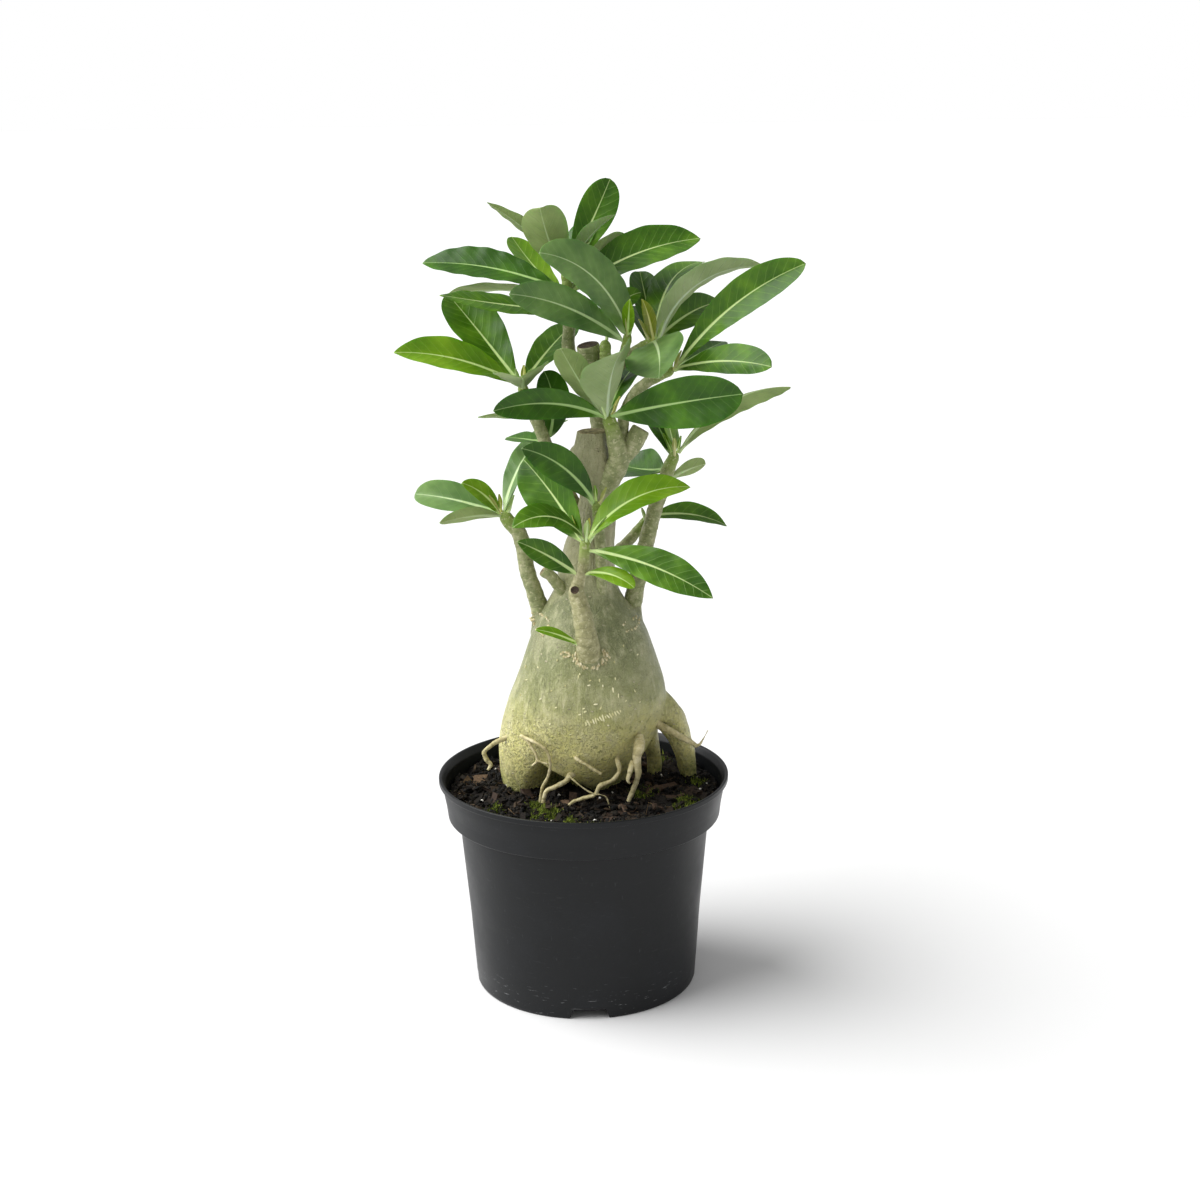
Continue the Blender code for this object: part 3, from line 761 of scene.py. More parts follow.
# --------------------------------------------------------------------------- pot
@dataclass
class PotShell:
    """Round nursery pot: tapered wall, flared band, rolled rim and notched foot."""

    rim_radius: float = 75.0
    rim_height: float = 112.3
    band_radius: float = 70.6
    band_foot: float = 91.5
    wall_radius: float = 65.0
    foot_radius: float = 57.8
    wall: float = 1.5
    notch_turn: float = -88.0
    notch_top: float = 8.35
    notch_bottom: float = 10.25
    notch_height: float = 5.2
    drain_ring: float = 39.0
    drain_radius: float = 3.5
    finish: MouldedPolypropylene = field(default_factory=MouldedPolypropylene)

    def outline(self) -> Array:
        """Half section from the inside floor's centre, over the rim, to the underside's centre.

        Returns:
            (n, 2) radius and height in mm before the corners are rounded.
        """
        top, rim, foot = self.rim_height, self.rim_radius, self.foot_radius
        inside = foot - self.wall
        return np.array([
            (0, 1.8), (26, 1.8), (28.4, 6.8), (inside - 0.6, 6.8), (inside, 8.8),
            (self.wall_radius - self.wall, 90), (self.wall_radius - 0.4, 92.6),
            (self.band_radius - self.wall, 93), (rim - 3.4, 108.8), (rim - 2.1, 111.2),
            (rim - 1.3, top), (rim, top), (rim, top - 2.8), (rim - 1.7, top - 3.0),
            (72.7, 105), (71.4, 98), (self.band_radius, self.band_foot),
            (self.band_radius - 0.4, self.band_foot - 0.5),
            (self.wall_radius, self.band_foot - 0.6), (60.4, 40), (58.5, 12),
            (foot + 0.25, 6.2), (foot + 0.2, 5.0), (foot + 0.1, 3.4), (foot, 1.4), (foot - 0.6, 0),
            (50, 0), (49, 4.6), (29, 4.6), (28, 0), (0, 0)], dtype=float)

    @staticmethod
    def rounded(line: Array, radius: float = 0.45) -> Array:
        """Round every corner of a polyline with a quadratic arc and add a point beside it.

        Args:
            line: (n, 2) corners.
            radius: longest distance cut back from a corner.

        Returns:
            The same line with five points at each inner corner.
        """
        before, corner, after = line[:-2], line[1:-1], line[2:]
        back, ahead = before - corner, after - corner
        back_len = np.linalg.norm(back, axis=1, keepdims=True)
        ahead_len = np.linalg.norm(ahead, axis=1, keepdims=True)
        cut = np.minimum(radius, 0.28 * np.minimum(back_len, ahead_len))
        a, b = corner + back / back_len * cut, corner + ahead / ahead_len * cut
        support_a = corner + back / back_len * cut * 1.6
        support_b = corner + ahead / ahead_len * cut * 1.6
        middle = 0.25 * a + 0.5 * corner + 0.25 * b
        ring = np.stack([support_a, a, middle, b, support_b], axis=1).reshape(-1, 2)
        return np.vstack([line[:1], ring, line[-1:]])

    def angles(self) -> Array:
        """Directions round the pot, closer together at the sides of each notch."""
        even = np.arange(0, 360, 2.25)
        edges = np.array([self.notch_top - 0.3, self.notch_top, self.notch_bottom,
                          self.notch_bottom + 0.3]) / self.foot_radius
        edges = np.degrees(np.concatenate([edges, -edges]))
        every = (self.notch_turn + np.arange(4)[:, None] * 90 + edges[None]).ravel() % 360
        return np.radians(np.unique(np.round(np.concatenate([even, every]), 3)))

    def build(self) -> bpy.types.Object:
        """Turn the outline, lift the foot into the notches and drill the drains.

        Returns:
            The pot. Inside a notch every foot point is lifted to at least the
            notch height, which falls off along the slanted sides.
        """
        line, turn = self.rounded(self.outline()), self.angles()
        radius, height = line[:, :1], line[:, 1:]
        off = (np.degrees(turn) - self.notch_turn + 45) % 90 - 45
        arc = np.abs(np.radians(off)) * self.foot_radius
        lift = np.clip((self.notch_bottom - arc) / (self.notch_bottom - self.notch_top), 0, 1)
        lift = lift[None] * self.notch_height
        foot = (radius > 48.5) & (np.arange(len(line))[:, None] > 60)
        z = np.where(foot, np.maximum(height, lift + 0.02 * height), height)
        grid = np.stack([radius * np.cos(turn), radius * np.sin(turn),
                         np.broadcast_to(z, (len(line), len(turn)))], axis=-1)
        mesh = rings_mesh("pot_shell", grid[:, ::-1])
        piece = place(mesh, [self.finish.build()], ["pot"])
        self.drill(piece)
        return piece

    def drill(self, piece: bpy.types.Object) -> None:
        """Cut the ring of round drain holes through the raised channel."""
        k = np.arange(8)
        spin = np.radians(self.notch_turn + 45 * (k + 0.5))
        turn = np.arange(24) * TAU / 24
        ring = np.stack([np.cos(turn), np.sin(turn)], -1) * self.drain_radius
        middle = np.stack([np.cos(spin), np.sin(spin)], -1) * self.drain_ring
        flat = middle[:, None] + ring[None]
        low = np.concatenate([flat, np.full((8, 24, 1), -1.0)], -1)
        high = np.concatenate([flat, np.full((8, 24, 1), 9.5)], -1)
        verts = np.stack([low, high], 1).reshape(-1, 3) * MM
        base = (k * 48)[:, None]
        j = np.arange(24)[None]
        after = (j + 1) % 24
        sides = np.stack([base + j, base + after, base + after + 24, base + j + 24], -1)
        caps = [list(48 * i + np.arange(24)[::-1]) for i in k] + \
               [list(48 * i + 24 + np.arange(24)) for i in k]
        mesh = bpy.data.meshes.new("drain_drill")
        mesh.from_pydata(verts.tolist(), [], sides.reshape(-1, 4).tolist() + caps)
        drill = hung("drain_drill", mesh)
        cut = piece.modifiers.new("Drains", "BOOLEAN")
        cut.operation, cut.solver, cut.object = "DIFFERENCE", "EXACT", drill
        settle(piece)
        bpy.data.objects.remove(drill)


def settle(piece: bpy.types.Object) -> None:
    """Replace a piece's mesh by the shape its modifiers give it."""
    graph = bpy.context.evaluated_depsgraph_get()
    graph.update()
    mesh = bpy.data.meshes.new_from_object(piece.evaluated_get(graph), depsgraph=graph)
    old = piece.data
    piece.modifiers.clear()
    piece.data = mesh
    mesh.name = old.name
    bpy.data.meshes.remove(old)


# --------------------------------------------------------------------------- soil
@dataclass
class SoilBed:
    """Potting mix: a low mound of peat with bark, perlite, fibres and moss on it."""

    level: float = 102.6
    mound: float = 1.6
    radius: float = 69.8
    rings: int = 84
    spokes: int = 420
    finish: LoosePeat = field(default_factory=LoosePeat)

    def height(self, x: Array, y: Array) -> Array:
        """Soil level: a shallow dome plus two crossed waves, in mm."""
        r = np.hypot(x, y)
        waves = np.sin(x * 0.21 + 1) * np.cos(y * 0.17) + 0.6 * np.sin(x * 0.11 - y * 0.27)
        return self.level + self.mound * (1 - (r / 70) ** 2) + 0.5 * waves

    def crumbly(self, x: Array, y: Array) -> Array:
        """Soil level with lumps of 3 to 9 mm added."""
        flat = np.stack([x, y, np.zeros_like(x)], -1)
        lumps = 1.1 * ripple(flat, 12.0, 11) + 0.75 * ripple(flat, 5.0, 12, 14)
        fine = 0.45 * ripple(flat, 2.4, 13, 18)
        return self.height(x, y) + lumps + fine

    def build(self) -> bpy.types.Object:
        """Turn the filling of the pot and raise its top to the crumbly level.

        Returns:
            The bed: rings from the centre out, then down the pot's inside.
        """
        out = np.linspace(0.0, 1.0, self.rings) ** 0.85 * self.radius
        side = np.array([(69.4, 99.0), (69.0, 94.0), (68.6, 93.4), (64.2, 92.9), (63.2, 89.8),
                         (56.0, 9.0), (55.2, 7.2), (28.0, 7.2), (25.6, 2.2), (0.0, 2.2)])
        turn = np.arange(self.spokes) * TAU / self.spokes
        x, y = out[:, None] * np.cos(turn), out[:, None] * np.sin(turn)
        top = np.stack([x, y, self.crumbly(x, y)], -1)
        wall = np.stack([side[:, :1] * np.cos(turn), side[:, :1] * np.sin(turn),
                         np.broadcast_to(side[:, 1:], (len(side), self.spokes))], -1)
        mesh = rings_mesh("soil_bed", np.vstack([top, wall]))
        return place(mesh, [self.finish.build()], ["potting_soil"])

    def spots(self, count: int, seed: int, inner: float,
              behind: float = 0.75) -> tuple[Array, Array, Array]:
        """Scatter places on the bare soil.

        Args:
            count: how many places to return.
            seed: fixes the scatter.
            inner: places closer to the stem than this are dropped.
            behind: share kept of the places behind the plant.

        Returns:
            x, y and the crumbly level at each place.
        """
        rng = np.random.default_rng(seed)
        r = self.radius * np.sqrt(rng.uniform(0.05, 0.985, count * 6))
        a = rng.uniform(0, TAU, len(r))
        x, y = r * np.cos(a), r * np.sin(a)
        clear = np.hypot((x + 9) / 1.15, y - 12) > inner
        keep = clear & ((y < 8) | (rng.uniform(0, 1, len(r)) < behind))
        x, y = x[keep][:count], y[keep][:count]
        return x, y, self.crumbly(x, y)


def tumbled(rng: np.random.Generator, tilt: float, count: int) -> Array:
    """Random Euler turns: a normal tilt on two axes, then any heading."""
    return np.stack([rng.normal(0, tilt, count), rng.normal(0, tilt, count),
                     rng.uniform(0, TAU, count)], -1)


@dataclass
class Litter:
    """One kind of loose bit strewn over the soil."""

    name: str
    count: int
    size: tuple[float, float, float]
    spread: float
    sink: float
    tilt: float
    seed: int
    finish: Crumb
    lump: bool = True
    rough: float = 0.25
    inner: float = 27.0

    def build(self, bed: SoilBed) -> bpy.types.Object:
        """Strew the bits.

        Args:
            bed: soil that gives the level under each bit.

        Returns:
            All bits as one mesh. Each size is the listed size times a factor of
            1 - spread to 1 + spread.
        """
        rng = np.random.default_rng(self.seed)
        x, y, z = bed.spots(self.count, self.seed, self.inner)
        held = np.hypot(x, y) < bed.radius - self.size[0] * 0.9
        x, y, z = x[held], y[held], z[held]
        n = len(x)
        sizes = np.array(self.size)[None] * rng.uniform(1 - self.spread, 1 + self.spread, (n, 3))
        turns = tumbled(rng, self.tilt, n)
        places = np.stack([x, y, z + sizes[:, 2] * (1 - self.sink)], -1)
        shape, faces = (LUMP, LUMP_FACES) if self.lump else (BLOCK, BLOCK_FACES)
        mesh = scatter_mesh(self.name, shape, faces, places, turns, sizes, self.seed + 1,
                            self.rough)
        return place(mesh, [self.finish.build()])


@dataclass
class MossTufts:
    """Low cushions of moss: short upright blades packed over small patches."""

    patches: tuple[tuple[float, float, float, int], ...] = (
        (-19, -40, 7.0, 900), (52, -26, 7.5, 800), (30, -14, 6.0, 500), (-45, -33, 4.5, 160),
        (-6, -52, 3.5, 200), (-24, -30, 4.0, 300), (60, 6, 4.0, 240),
        (6, -58, 4.0, 90), (-30, 48, 8.0, 260), (40, 42, 7.0, 220))

    def build(self, bed: SoilBed) -> bpy.types.Object:
        """Grow the tufts.

        Args:
            bed: soil that gives the level under each blade.

        Returns:
            Thin three-sided spikes leaning at random, 1 to 2.5 mm tall.
        """
        rng = np.random.default_rng(31)
        rows = np.array(self.patches)
        which = np.repeat(np.arange(len(rows)), rows[:, 3].astype(int))
        spread = rng.normal(0, 0.5, (len(which), 2)) * rows[which, 2:3]
        x, y = rows[which, 0] + spread[:, 0], rows[which, 1] + spread[:, 1]
        inside = np.hypot(x, y) < bed.radius - 1.5
        x, y = x[inside], y[inside]
        tall = rng.uniform(0.7, 1.9, len(x))
        shape = np.array([[-1, -0.6, -1], [1, -0.6, -1], [0, 1, -1], [0, 0, 1]], dtype=float)
        faces = np.array([[0, 2, 1], [0, 1, 3], [1, 2, 3], [2, 0, 3]])
        sizes = np.stack([np.full(len(x), 0.42), np.full(len(x), 0.42), tall], -1)
        turns = tumbled(rng, 0.5, len(x))
        places = np.stack([x, y, bed.crumbly(x, y) + tall * 0.7], -1)
        mesh = scatter_mesh("moss_tufts", shape, faces, places, turns, sizes, 32, 0.1)
        finish = Crumb("cushion_moss", ((0.1, "#1E2607"), (0.5, "#4A5A12"), (0.95, "#8E9A3C")))
        return place(mesh, [finish.build()])


def clay_bead(bed: SoilBed) -> bpy.types.Object:
    """Rest one fired clay bead on the soil in front of the stem."""
    x, y, radius, rise = 19.0, -33.5, 1.749, 2.0
    level = bed.height(np.array([x]), np.array([y]))[0]
    bead = LUMP * radius + np.array([x, y, level + rise])
    finish = Crumb("fired_clay", ((0.2, "#4E4032"), (0.6, "#6E5C48"), (0.95, "#8C7860")))
    return place(make_mesh("clay_bead", bead * MM, None, LUMP_FACES), [finish.build()])


# --------------------------------------------------------------------------- tubes
def run_along(path: Array) -> Array:
    """Distance travelled along a path at each of its points."""
    return np.concatenate([[0], np.cumsum(np.linalg.norm(np.diff(path, axis=0), axis=1))])


def capped(rows: Array) -> Array:
    """Repeat the first and last rows, so that they can close as poles."""
    return np.concatenate([rows[:1], rows, rows[-1:]], axis=0)


def points_of(mesh: bpy.types.Mesh) -> Array:
    """Read a mesh's points as an (n, 3) array in metres."""
    flat = np.empty(len(mesh.vertices) * 3, dtype=np.float32)
    mesh.vertices.foreach_get("co", flat)
    return flat.reshape(-1, 3)


def sweep(path: Array, radius: Array, columns: int) -> Array:
    """Carry a ring along a path.

    Args:
        path: (n, 3) centre line in mm.
        radius: (n,) or (n, columns) radii in mm.
        columns: points in a ring.

    Returns:
        (n, columns, 3) points. Each ring lies across the path; its first
        direction is the path's direction crossed with +Y.
    """
    tangent = np.gradient(path, axis=0)
    tangent /= np.linalg.norm(tangent, axis=1, keepdims=True)
    side = np.cross(tangent, np.array([0.0, 1.0, 0.0]))
    side /= np.linalg.norm(side, axis=1, keepdims=True)
    other = np.cross(tangent, side)
    turn = np.arange(columns) * TAU / columns
    ring = radius if radius.ndim == 2 else radius[:, None]
    return (path[:, None] + ring[..., None] * (np.cos(turn)[None, :, None] * side[:, None]
                                               + np.sin(turn)[None, :, None] * other[:, None]))


def resampled(points: Array, gap: float) -> Array:
    """Smooth curve through points at an even spacing.

    Args:
        points: (n, k) rows whose first three values are a position in mm.
        gap: wanted distance between samples in mm.

    Returns:
        (m, k) rows along the curve, both ends included.
    """
    fine = through(points, np.linspace(0, len(points) - 1, 40 * len(points)))
    run = run_along(fine[:, :3])
    at = np.linspace(0, run[-1], max(4, int(run[-1] / gap) + 1))
    return np.stack([np.interp(at, run, column) for column in fine.T], axis=1)


class Tip(Enum):
    """How a shoot or root ends."""

    GROWING = "growing"
    CUT = "cut"
    BURIED = "buried"


@dataclass
class Stem:
    """A shoot or root: a ringed tube along a path of x, y, z and radius rows."""

    name: str
    points: Sequence[tuple[float, float, float, float]]
    tip: Tip = Tip.GROWING
    columns: int = 28
    gap: float = 0.5
    ring: float = 3.6
    ring_depth: float = 0.09
    lumps: float = 0.14

    def build(self, finishes: Sequence[bpy.types.Material],
              replaces: Sequence[str] = ()) -> bpy.types.Object:
        """Sweep the tube.

        Args:
            finishes: bark, and the cut wood when the tip is cut.
            replaces: frame nodes the stem stands for.

        Returns:
            The closed stem. The radius is the path's radius, plus a raised lip at
            each leaf scar and low lumps.
        """
        row = resampled(np.array(self.points, dtype=float), self.gap)
        path, base = row[:, :3], row[:, 3]
        run = run_along(path)
        back = run[-1] - run
        seed = sum(map(ord, self.name))
        wobble = 0.6 * np.sin(back / 5.1 + seed) + 0.4 * np.sin(back / 2.3 + seed * 2)
        beat = np.abs(((back + wobble) / self.ring + 0.5) % 1 - 0.5) * self.ring
        scar = self.ring_depth * np.exp(-(beat / 0.55) ** 2)
        if self.tip is Tip.GROWING:
            end = np.sqrt(np.clip(1 - (1 - back / (1.2 * base[-1] + 1e-6)).clip(0) ** 2, 0, 1))
        else:
            end = 1 - 0.10 * np.exp(-back / 0.35)
        radius = (base + scar) * end
        grid = sweep(path, np.maximum(radius, 0.02), self.columns)
        bump = self.lumps * ripple(grid, 5.0, seed) + 0.5 * self.lumps * ripple(grid, 2.2, seed + 1)
        bump = bump * np.minimum(1, back / 1.5)[:, None]
        grid = sweep(path, np.maximum(radius[:, None] + bump * end[:, None], 0.02), self.columns)
        if self.tip is Tip.CUT:
            back = back + 60.0
            direction = path[-1] - path[-2]
            direction /= np.linalg.norm(direction)
            centre = path[-1][None]
            face = [centre + (grid[-1] - centre) * k + direction * d
                    for k, d in ((0.93, 0.12), (0.78, 0.02), (0.5, -0.25), (0.25, -0.35))]
            grid = np.concatenate([grid, np.stack(face)], axis=0)
            back = np.concatenate([back, np.full(4, 60.0)])
        grid, back = capped(grid), capped(back)
        mesh = rings_mesh(f"{self.name}_stem", grid)
        per = np.repeat(back[1:-1], self.columns)
        per = np.concatenate([per, [back[0], back[-1]]])
        turn = np.tile(np.arange(self.columns) / self.columns, len(back) - 2)
        set_uv(mesh, np.stack([np.concatenate([turn, [0, 0]]), per * 0.01], -1))
        if self.tip is Tip.CUT and len(finishes) > 1:
            n_quads = (len(back) - 3) * self.columns
            slots = np.zeros(len(mesh.polygons), dtype=np.int32)
            first = n_quads - 4 * self.columns
            slots[first:n_quads] = 1
            slots[n_quads + self.columns:] = 1
            mesh.polygons.foreach_set("material_index", slots)
        return place(mesh, finishes, replaces)


# x, y, z and radius along each shoot
SHOOTS: dict[str, list[tuple[float, float, float, float]]] = {
    "left_branch": [(-18, 4, 189, 5.2), (-24, 1, 210, 4.2), (-27, 0, 220, 4), (-29, 0, 233, 3.9),
                    (-31, 0, 240, 3.9), (-36, 0, 246, 3.6), (-39, 0, 250.5, 3)],
    "front_branch": [(4, -25, 178, 6.4), (3, -34, 192, 5.6), (0.5, -33, 207, 4.6),
                     (-1.8, -30.5, 216, 3.9), (-0.5, -28.5, 222, 3.0), (1.5, -28, 229, 2.8),
                     (3, -27, 242.5, 2.6)],
    "second_branch": [(9, -8, 200, 3), (10, -12, 212, 3), (10.5, -13, 222, 2.9),
                      (10, -15, 236, 2.8), (8.5, -17, 259, 2.6)],
    "right_branch": [(24, 6, 190, 5.2), (30, 8, 218, 4.2), (34, 11, 233, 4), (38, 13, 248, 3.8),
                     (42, 15, 258, 3.6), (45, 16, 268, 3.4), (49, 16, 277, 2.8)],
    "right_twig": [(8, 8, 218, 3.2), (23, 19, 229, 2.8), (31, 22, 237, 2.6), (35, 23, 242, 2.3)],
    "left_stub": [(-5, -6, 205, 3.6), (-14, -12, 219, 2.9), (-19, -13, 223, 2.6)],
    "fork": [(8, -2, 258, 6), (19, -6, 275, 5.4), (18, -8, 288, 4.2), (14, -6, 300.5, 3)],
    "fork_stub": [(19.5, -6, 276, 3.6), (26, -4, 284, 4.8), (31, -3, 292.5, 4.7)],
    "left_shoot": [(2, 3, 243, 4), (-14, 9, 275, 3.6), (-19, 9, 290, 3.2), (-25, 4, 305, 2.9),
                   (-28, 0, 315, 2.5)],
    "upper_trunk": [(8, 6, 254, 6.2), (12, 15, 271, 6.2), (12, 17.5, 290, 6), (9, 12, 310, 6),
                    (5, 8, 333, 5.8)],
    "bud": [(9, 8, 312, 3.2), (13.4, 3.2, 323, 3.1), (13.6, 3.2, 336, 2.6)],
    "top_shoot": [(7, 13, 312, 3.8), (-4, 14, 328, 3.4), (-4, 13, 347, 2.9),
                  (-5.5, 14, 370, 2.3)],
    "crown_shoot": [(10, 13, 302, 3.6), (19, 12, 320, 3.2), (29, 12, 329, 2.9),
                    (39, 12, 334.5, 2.5)],
    "crown_twig": [(21, 12, 322, 2.6), (23, 5, 329, 2.4), (25, 1.5, 339.5, 2.1)],
    "right_shoot": [(20, -5, 281, 3.2), (23, 1, 299, 2.9), (27, 2, 308, 2.8), (33, 2, 314, 2.8),
                    (41, 2, 318.5, 2.7), (47.5, 2, 321, 2.4)],
}


# --------------------------------------------------------------------------- caudex
# height, centre x, centre y, half-width in x, half-width in y
CAUDEX = np.array([
    (80, -8, 14, 15, 12), (90, -9, 14, 27, 22), (102, -10, 14, 33, 26.5),
    (110, -9, 12, 35.5, 29.5), (120, -7, 9, 37.5, 34), (130, -4, 6, 40, 37),
    (141, -1, 4, 41, 39), (152, 2, 2, 40.5, 39), (162, 3.2, 1, 37.8, 37.5),
    (178, 3.3, 0, 33, 33), (188, 3.6, 0, 29.5, 29.5), (197, 3.5, 0, 25.2, 25.2),
    (204, 2.2, 0, 19.8, 19.8), (212, 2.5, 0, 15.6, 15.6), (225, 3, 0, 13.8, 13.8),
    (236, 5, 0, 12.3, 12.3), (246, 7.6, 0, 10.6, 10.6), (257, 9.4, 0, 9.2, 9.2),
    (265, 9.2, 0, 8.9, 8.9), (275, 6.4, 0, 9.4, 9.4), (282.4, 5.2, 0, 10.0, 10.0),
    (284.6, 6.4, 0, 8.3, 8.3), (291.5, 7, 0, 7.7, 7.7)], dtype=float)


@dataclass
class CaudexSkin:
    """Swollen stem: a lobed body, a ringed neck and the prop roots it stands on."""

    clefts: tuple[tuple[float, float, float], ...] = (
        (-114, 11, 0.14), (-38, 16, 0.15), (60, 20, 0.10), (160, 16, 0.10))
    cleft_top: float = 138.0
    arch: float = 0.84
    voxel: float = 0.9
    legs: tuple[tuple[tuple[float, float, float, float], ...], ...] = (
        ((31, 2, 152, 10), (44, 6, 140, 8.6), (51, 10, 125, 6), (54, 14, 113, 5),
         (56, 17, 102, 4.3), (57, 18, 93, 4)),
        ((29, 15, 141, 8), (35, 20, 124, 5.0), (37, 22, 110, 4), (37, 23, 93, 3.6)))
    finish: CaudexBark = field(default_factory=CaudexBark)

    def sections(self, z: Array) -> Array:
        """Centre and half-widths at heights: straight between the listed rows, then smoothed.

        Args:
            z: evenly spaced heights in mm, half a millimetre apart.

        Returns:
            (n, 4) centre x, centre y and the two half-widths.
        """
        table = np.stack([np.interp(z, CAUDEX[:, 0], column) for column in CAUDEX.T[1:]], 1)
        kernel = np.ones(9) / 9
        for _ in range(2):
            padded = np.pad(table, ((4, 4), (0, 0)), mode="edge")
            table = np.stack([np.convolve(c, kernel, "valid") for c in padded.T], 1)
        return table

    def lobes(self, z: Array, turn: Array) -> Array:
        """Share of the radius left at each height and direction.

        One minus, for each cleft, its amount times its opening times a bell
        across its width; the opening grows from the cleft's top over 28 mm. An
        arch between the front roots, wider towards the soil, is taken off last.
        """
        share = np.ones((len(z), len(turn)))
        for centre, width, amount in self.clefts:
            off = (np.degrees(turn) - centre + 180) % 360 - 180
            drift = 3.0 * np.sin(z / 7.0 + centre)
            opening = np.clip((self.cleft_top - z) / 28, 0, 1)
            bell = np.exp(-((off[None] - drift[:, None] * 0.6) / width) ** 2)
            share -= amount * opening[:, None] * bell
        middle = -118 + np.clip(124 - z, 0, 19) * 1.45
        half = 1.5 + np.clip(124 - z, 0, 19) * 1.40
        off = (np.degrees(turn)[None] - middle[:, None] + 180) % 360 - 180
        arch = np.exp(-np.abs(off / half[:, None]) ** 5) * smoothstep(126, 119, z)[:, None]
        return share * (1 - self.arch * arch)

    def body(self) -> Array:
        """Rings of the body: lobed sections with low swellings and upright folds."""
        z = np.arange(80.0, 291.6, 0.5)
        turn = np.arange(160) * TAU / 160
        cx, cy, rx, ry = self.sections(z).T[:, :, None]
        share = self.lobes(z, turn)
        flat = np.stack([np.cos(turn)[None] * np.full((len(z), 1), 30.0),
                         np.sin(turn)[None] * np.full((len(z), 1), 30.0),
                         np.broadcast_to(z[:, None] * 0.35, share.shape)], -1)
        size = np.clip(rx / 40, 0.25, 1)
        swell = 0.9 * ripple(flat, 26.0, 3) + 0.35 * ripple(flat, 11.0, 4)
        crease = -0.8 * np.exp(-((z - 283.9) / 0.9) ** 2)
        ringed = 0.35 * np.exp(-((z - 281.5) / 1.6) ** 2) + crease
        neck = smoothstep(205, 216, z) * 0.22
        flat[..., 2] = z[:, None]
        rough = neck[:, None] * ripple(flat * np.array([0.35, 0.35, 1.0]), 4.0, 5, 12)
        extra = swell * size + ringed[:, None] + rough
        grid = np.stack([cx + (rx * share + extra) * np.cos(turn),
                         cy + (ry * share + extra) * np.sin(turn),
                         np.broadcast_to(z[:, None], share.shape)], -1)
        return capped(grid)

    def shoulders(self) -> list[Array]:
        """Short flared stubs that swell the body where each shoot leaves it."""
        made = []
        for name, grow, length in (("left_branch", 1.7, 13), ("front_branch", 1.6, 11),
                                   ("right_branch", 1.7, 13), ("left_stub", 1.4, 7)):
            row = resampled(np.array(SHOOTS[name], dtype=float), 0.8)
            row = row[:int(length / 0.8)]
            t = np.linspace(0, 1, len(row))
            radius = row[:, 3] * (grow - (grow - 0.92) * t ** 0.7)
            radius[-2:] *= (0.8, 0.3)
            made.append(sweep(row[:, :3], radius, 28))
        return made

    def build(self) -> bpy.types.Object:
        """Fuse the body, legs and shoulders into one skin.

        Returns:
            One closed skin of even quads, eased so that the joins run into fillets.
        """
        tubes = [self.body()]
        for leg in self.legs:
            row = resampled(np.array(leg, dtype=float), 1.0)
            grid = sweep(row[:, :3], row[:, 3], 32)
            tubes.append(sweep(row[:, :3], row[:, 3][:, None] + 0.5 * ripple(grid, 12.0, 7), 32))
        tubes += self.shoulders()
        meshes = [rings_mesh(f"caudex_{i}", capped(t)) for i, t in enumerate(tubes)]
        joined = bpy.data.meshes.new("caudex_skin")
        verts, faces, base = [], [], 0
        for mesh in meshes:
            verts.append(points_of(mesh))
            faces += [[v + base for v in p.vertices] for p in mesh.polygons]
            base += len(mesh.vertices)
            bpy.data.meshes.remove(mesh)
        joined.from_pydata(np.vstack(verts).tolist(), [], faces)
        piece = place(joined, [self.finish.build(), CutWood().build()], ["caudex"])
        fuse = piece.modifiers.new("Fuse", "REMESH")
        fuse.mode, fuse.voxel_size, fuse.use_smooth_shade = "VOXEL", self.voxel * MM, True
        ease = piece.modifiers.new("Ease", "SMOOTH")
        ease.factor, ease.iterations = 0.5, 3
        settle(piece)
        self.mark_cut(piece.data)
        return piece

    @staticmethod
    def mark_cut(mesh: bpy.types.Mesh) -> None:
        """Give the flat top of the neck the cut-wood finish."""
        count = len(mesh.polygons)
        middle, normal = np.empty(count * 3, np.float32), np.empty(count * 3, np.float32)
        mesh.polygons.foreach_get("center", middle)
        mesh.polygons.foreach_get("normal", normal)
        top = (middle.reshape(-1, 3)[:, 2] > 0.2906) & (normal.reshape(-1, 3)[:, 2] > 0.75)
        mesh.polygons.foreach_set("material_index", top.astype(np.int32))


@dataclass(frozen=True)
class CutWood:
    """Healed pruning cut: dry brown pith inside a pale rim."""

    name: str = "cut_wood"
    dark: str = "#4A4230"
    colour: str = "#857A5A"
    light: str = "#ADA27C"

    def build(self) -> bpy.types.Material:
        """Build the material.

        Returns:
            Mottled tan-brown dry wood, quite matt.
        """
        mat, tree, shader = blank(self.name)
        where = spot_of(tree)
        fleck = noise(tree, where, 0.0022, 4, 0.6)
        feed(tree, shader, {
            "Base Color": ramp(tree, fleck, ((0.3, self.dark), (0.5, self.colour), (0.72, self.light))),
            "Roughness": 0.9,
            "Normal": relief(tree, fleck, 0.0006)})
        return mat


# --------------------------------------------------------------------------- leaves
def shoot_place(shoot: str, drop: float) -> tuple[Array, float]:
    """Find a point on a shoot's centre line.

    Args:
        shoot: name in the shoot table.
        drop: distance back from the tip in mm.

    Returns:
        Position and radius, straight between the listed points.
    """
    rows = np.array(SHOOTS[shoot][::-1], dtype=float)
    run = run_along(rows[:, :3])
    found = np.array([np.interp(drop, run, column) for column in rows.T])
    return found[:3], float(found[3])


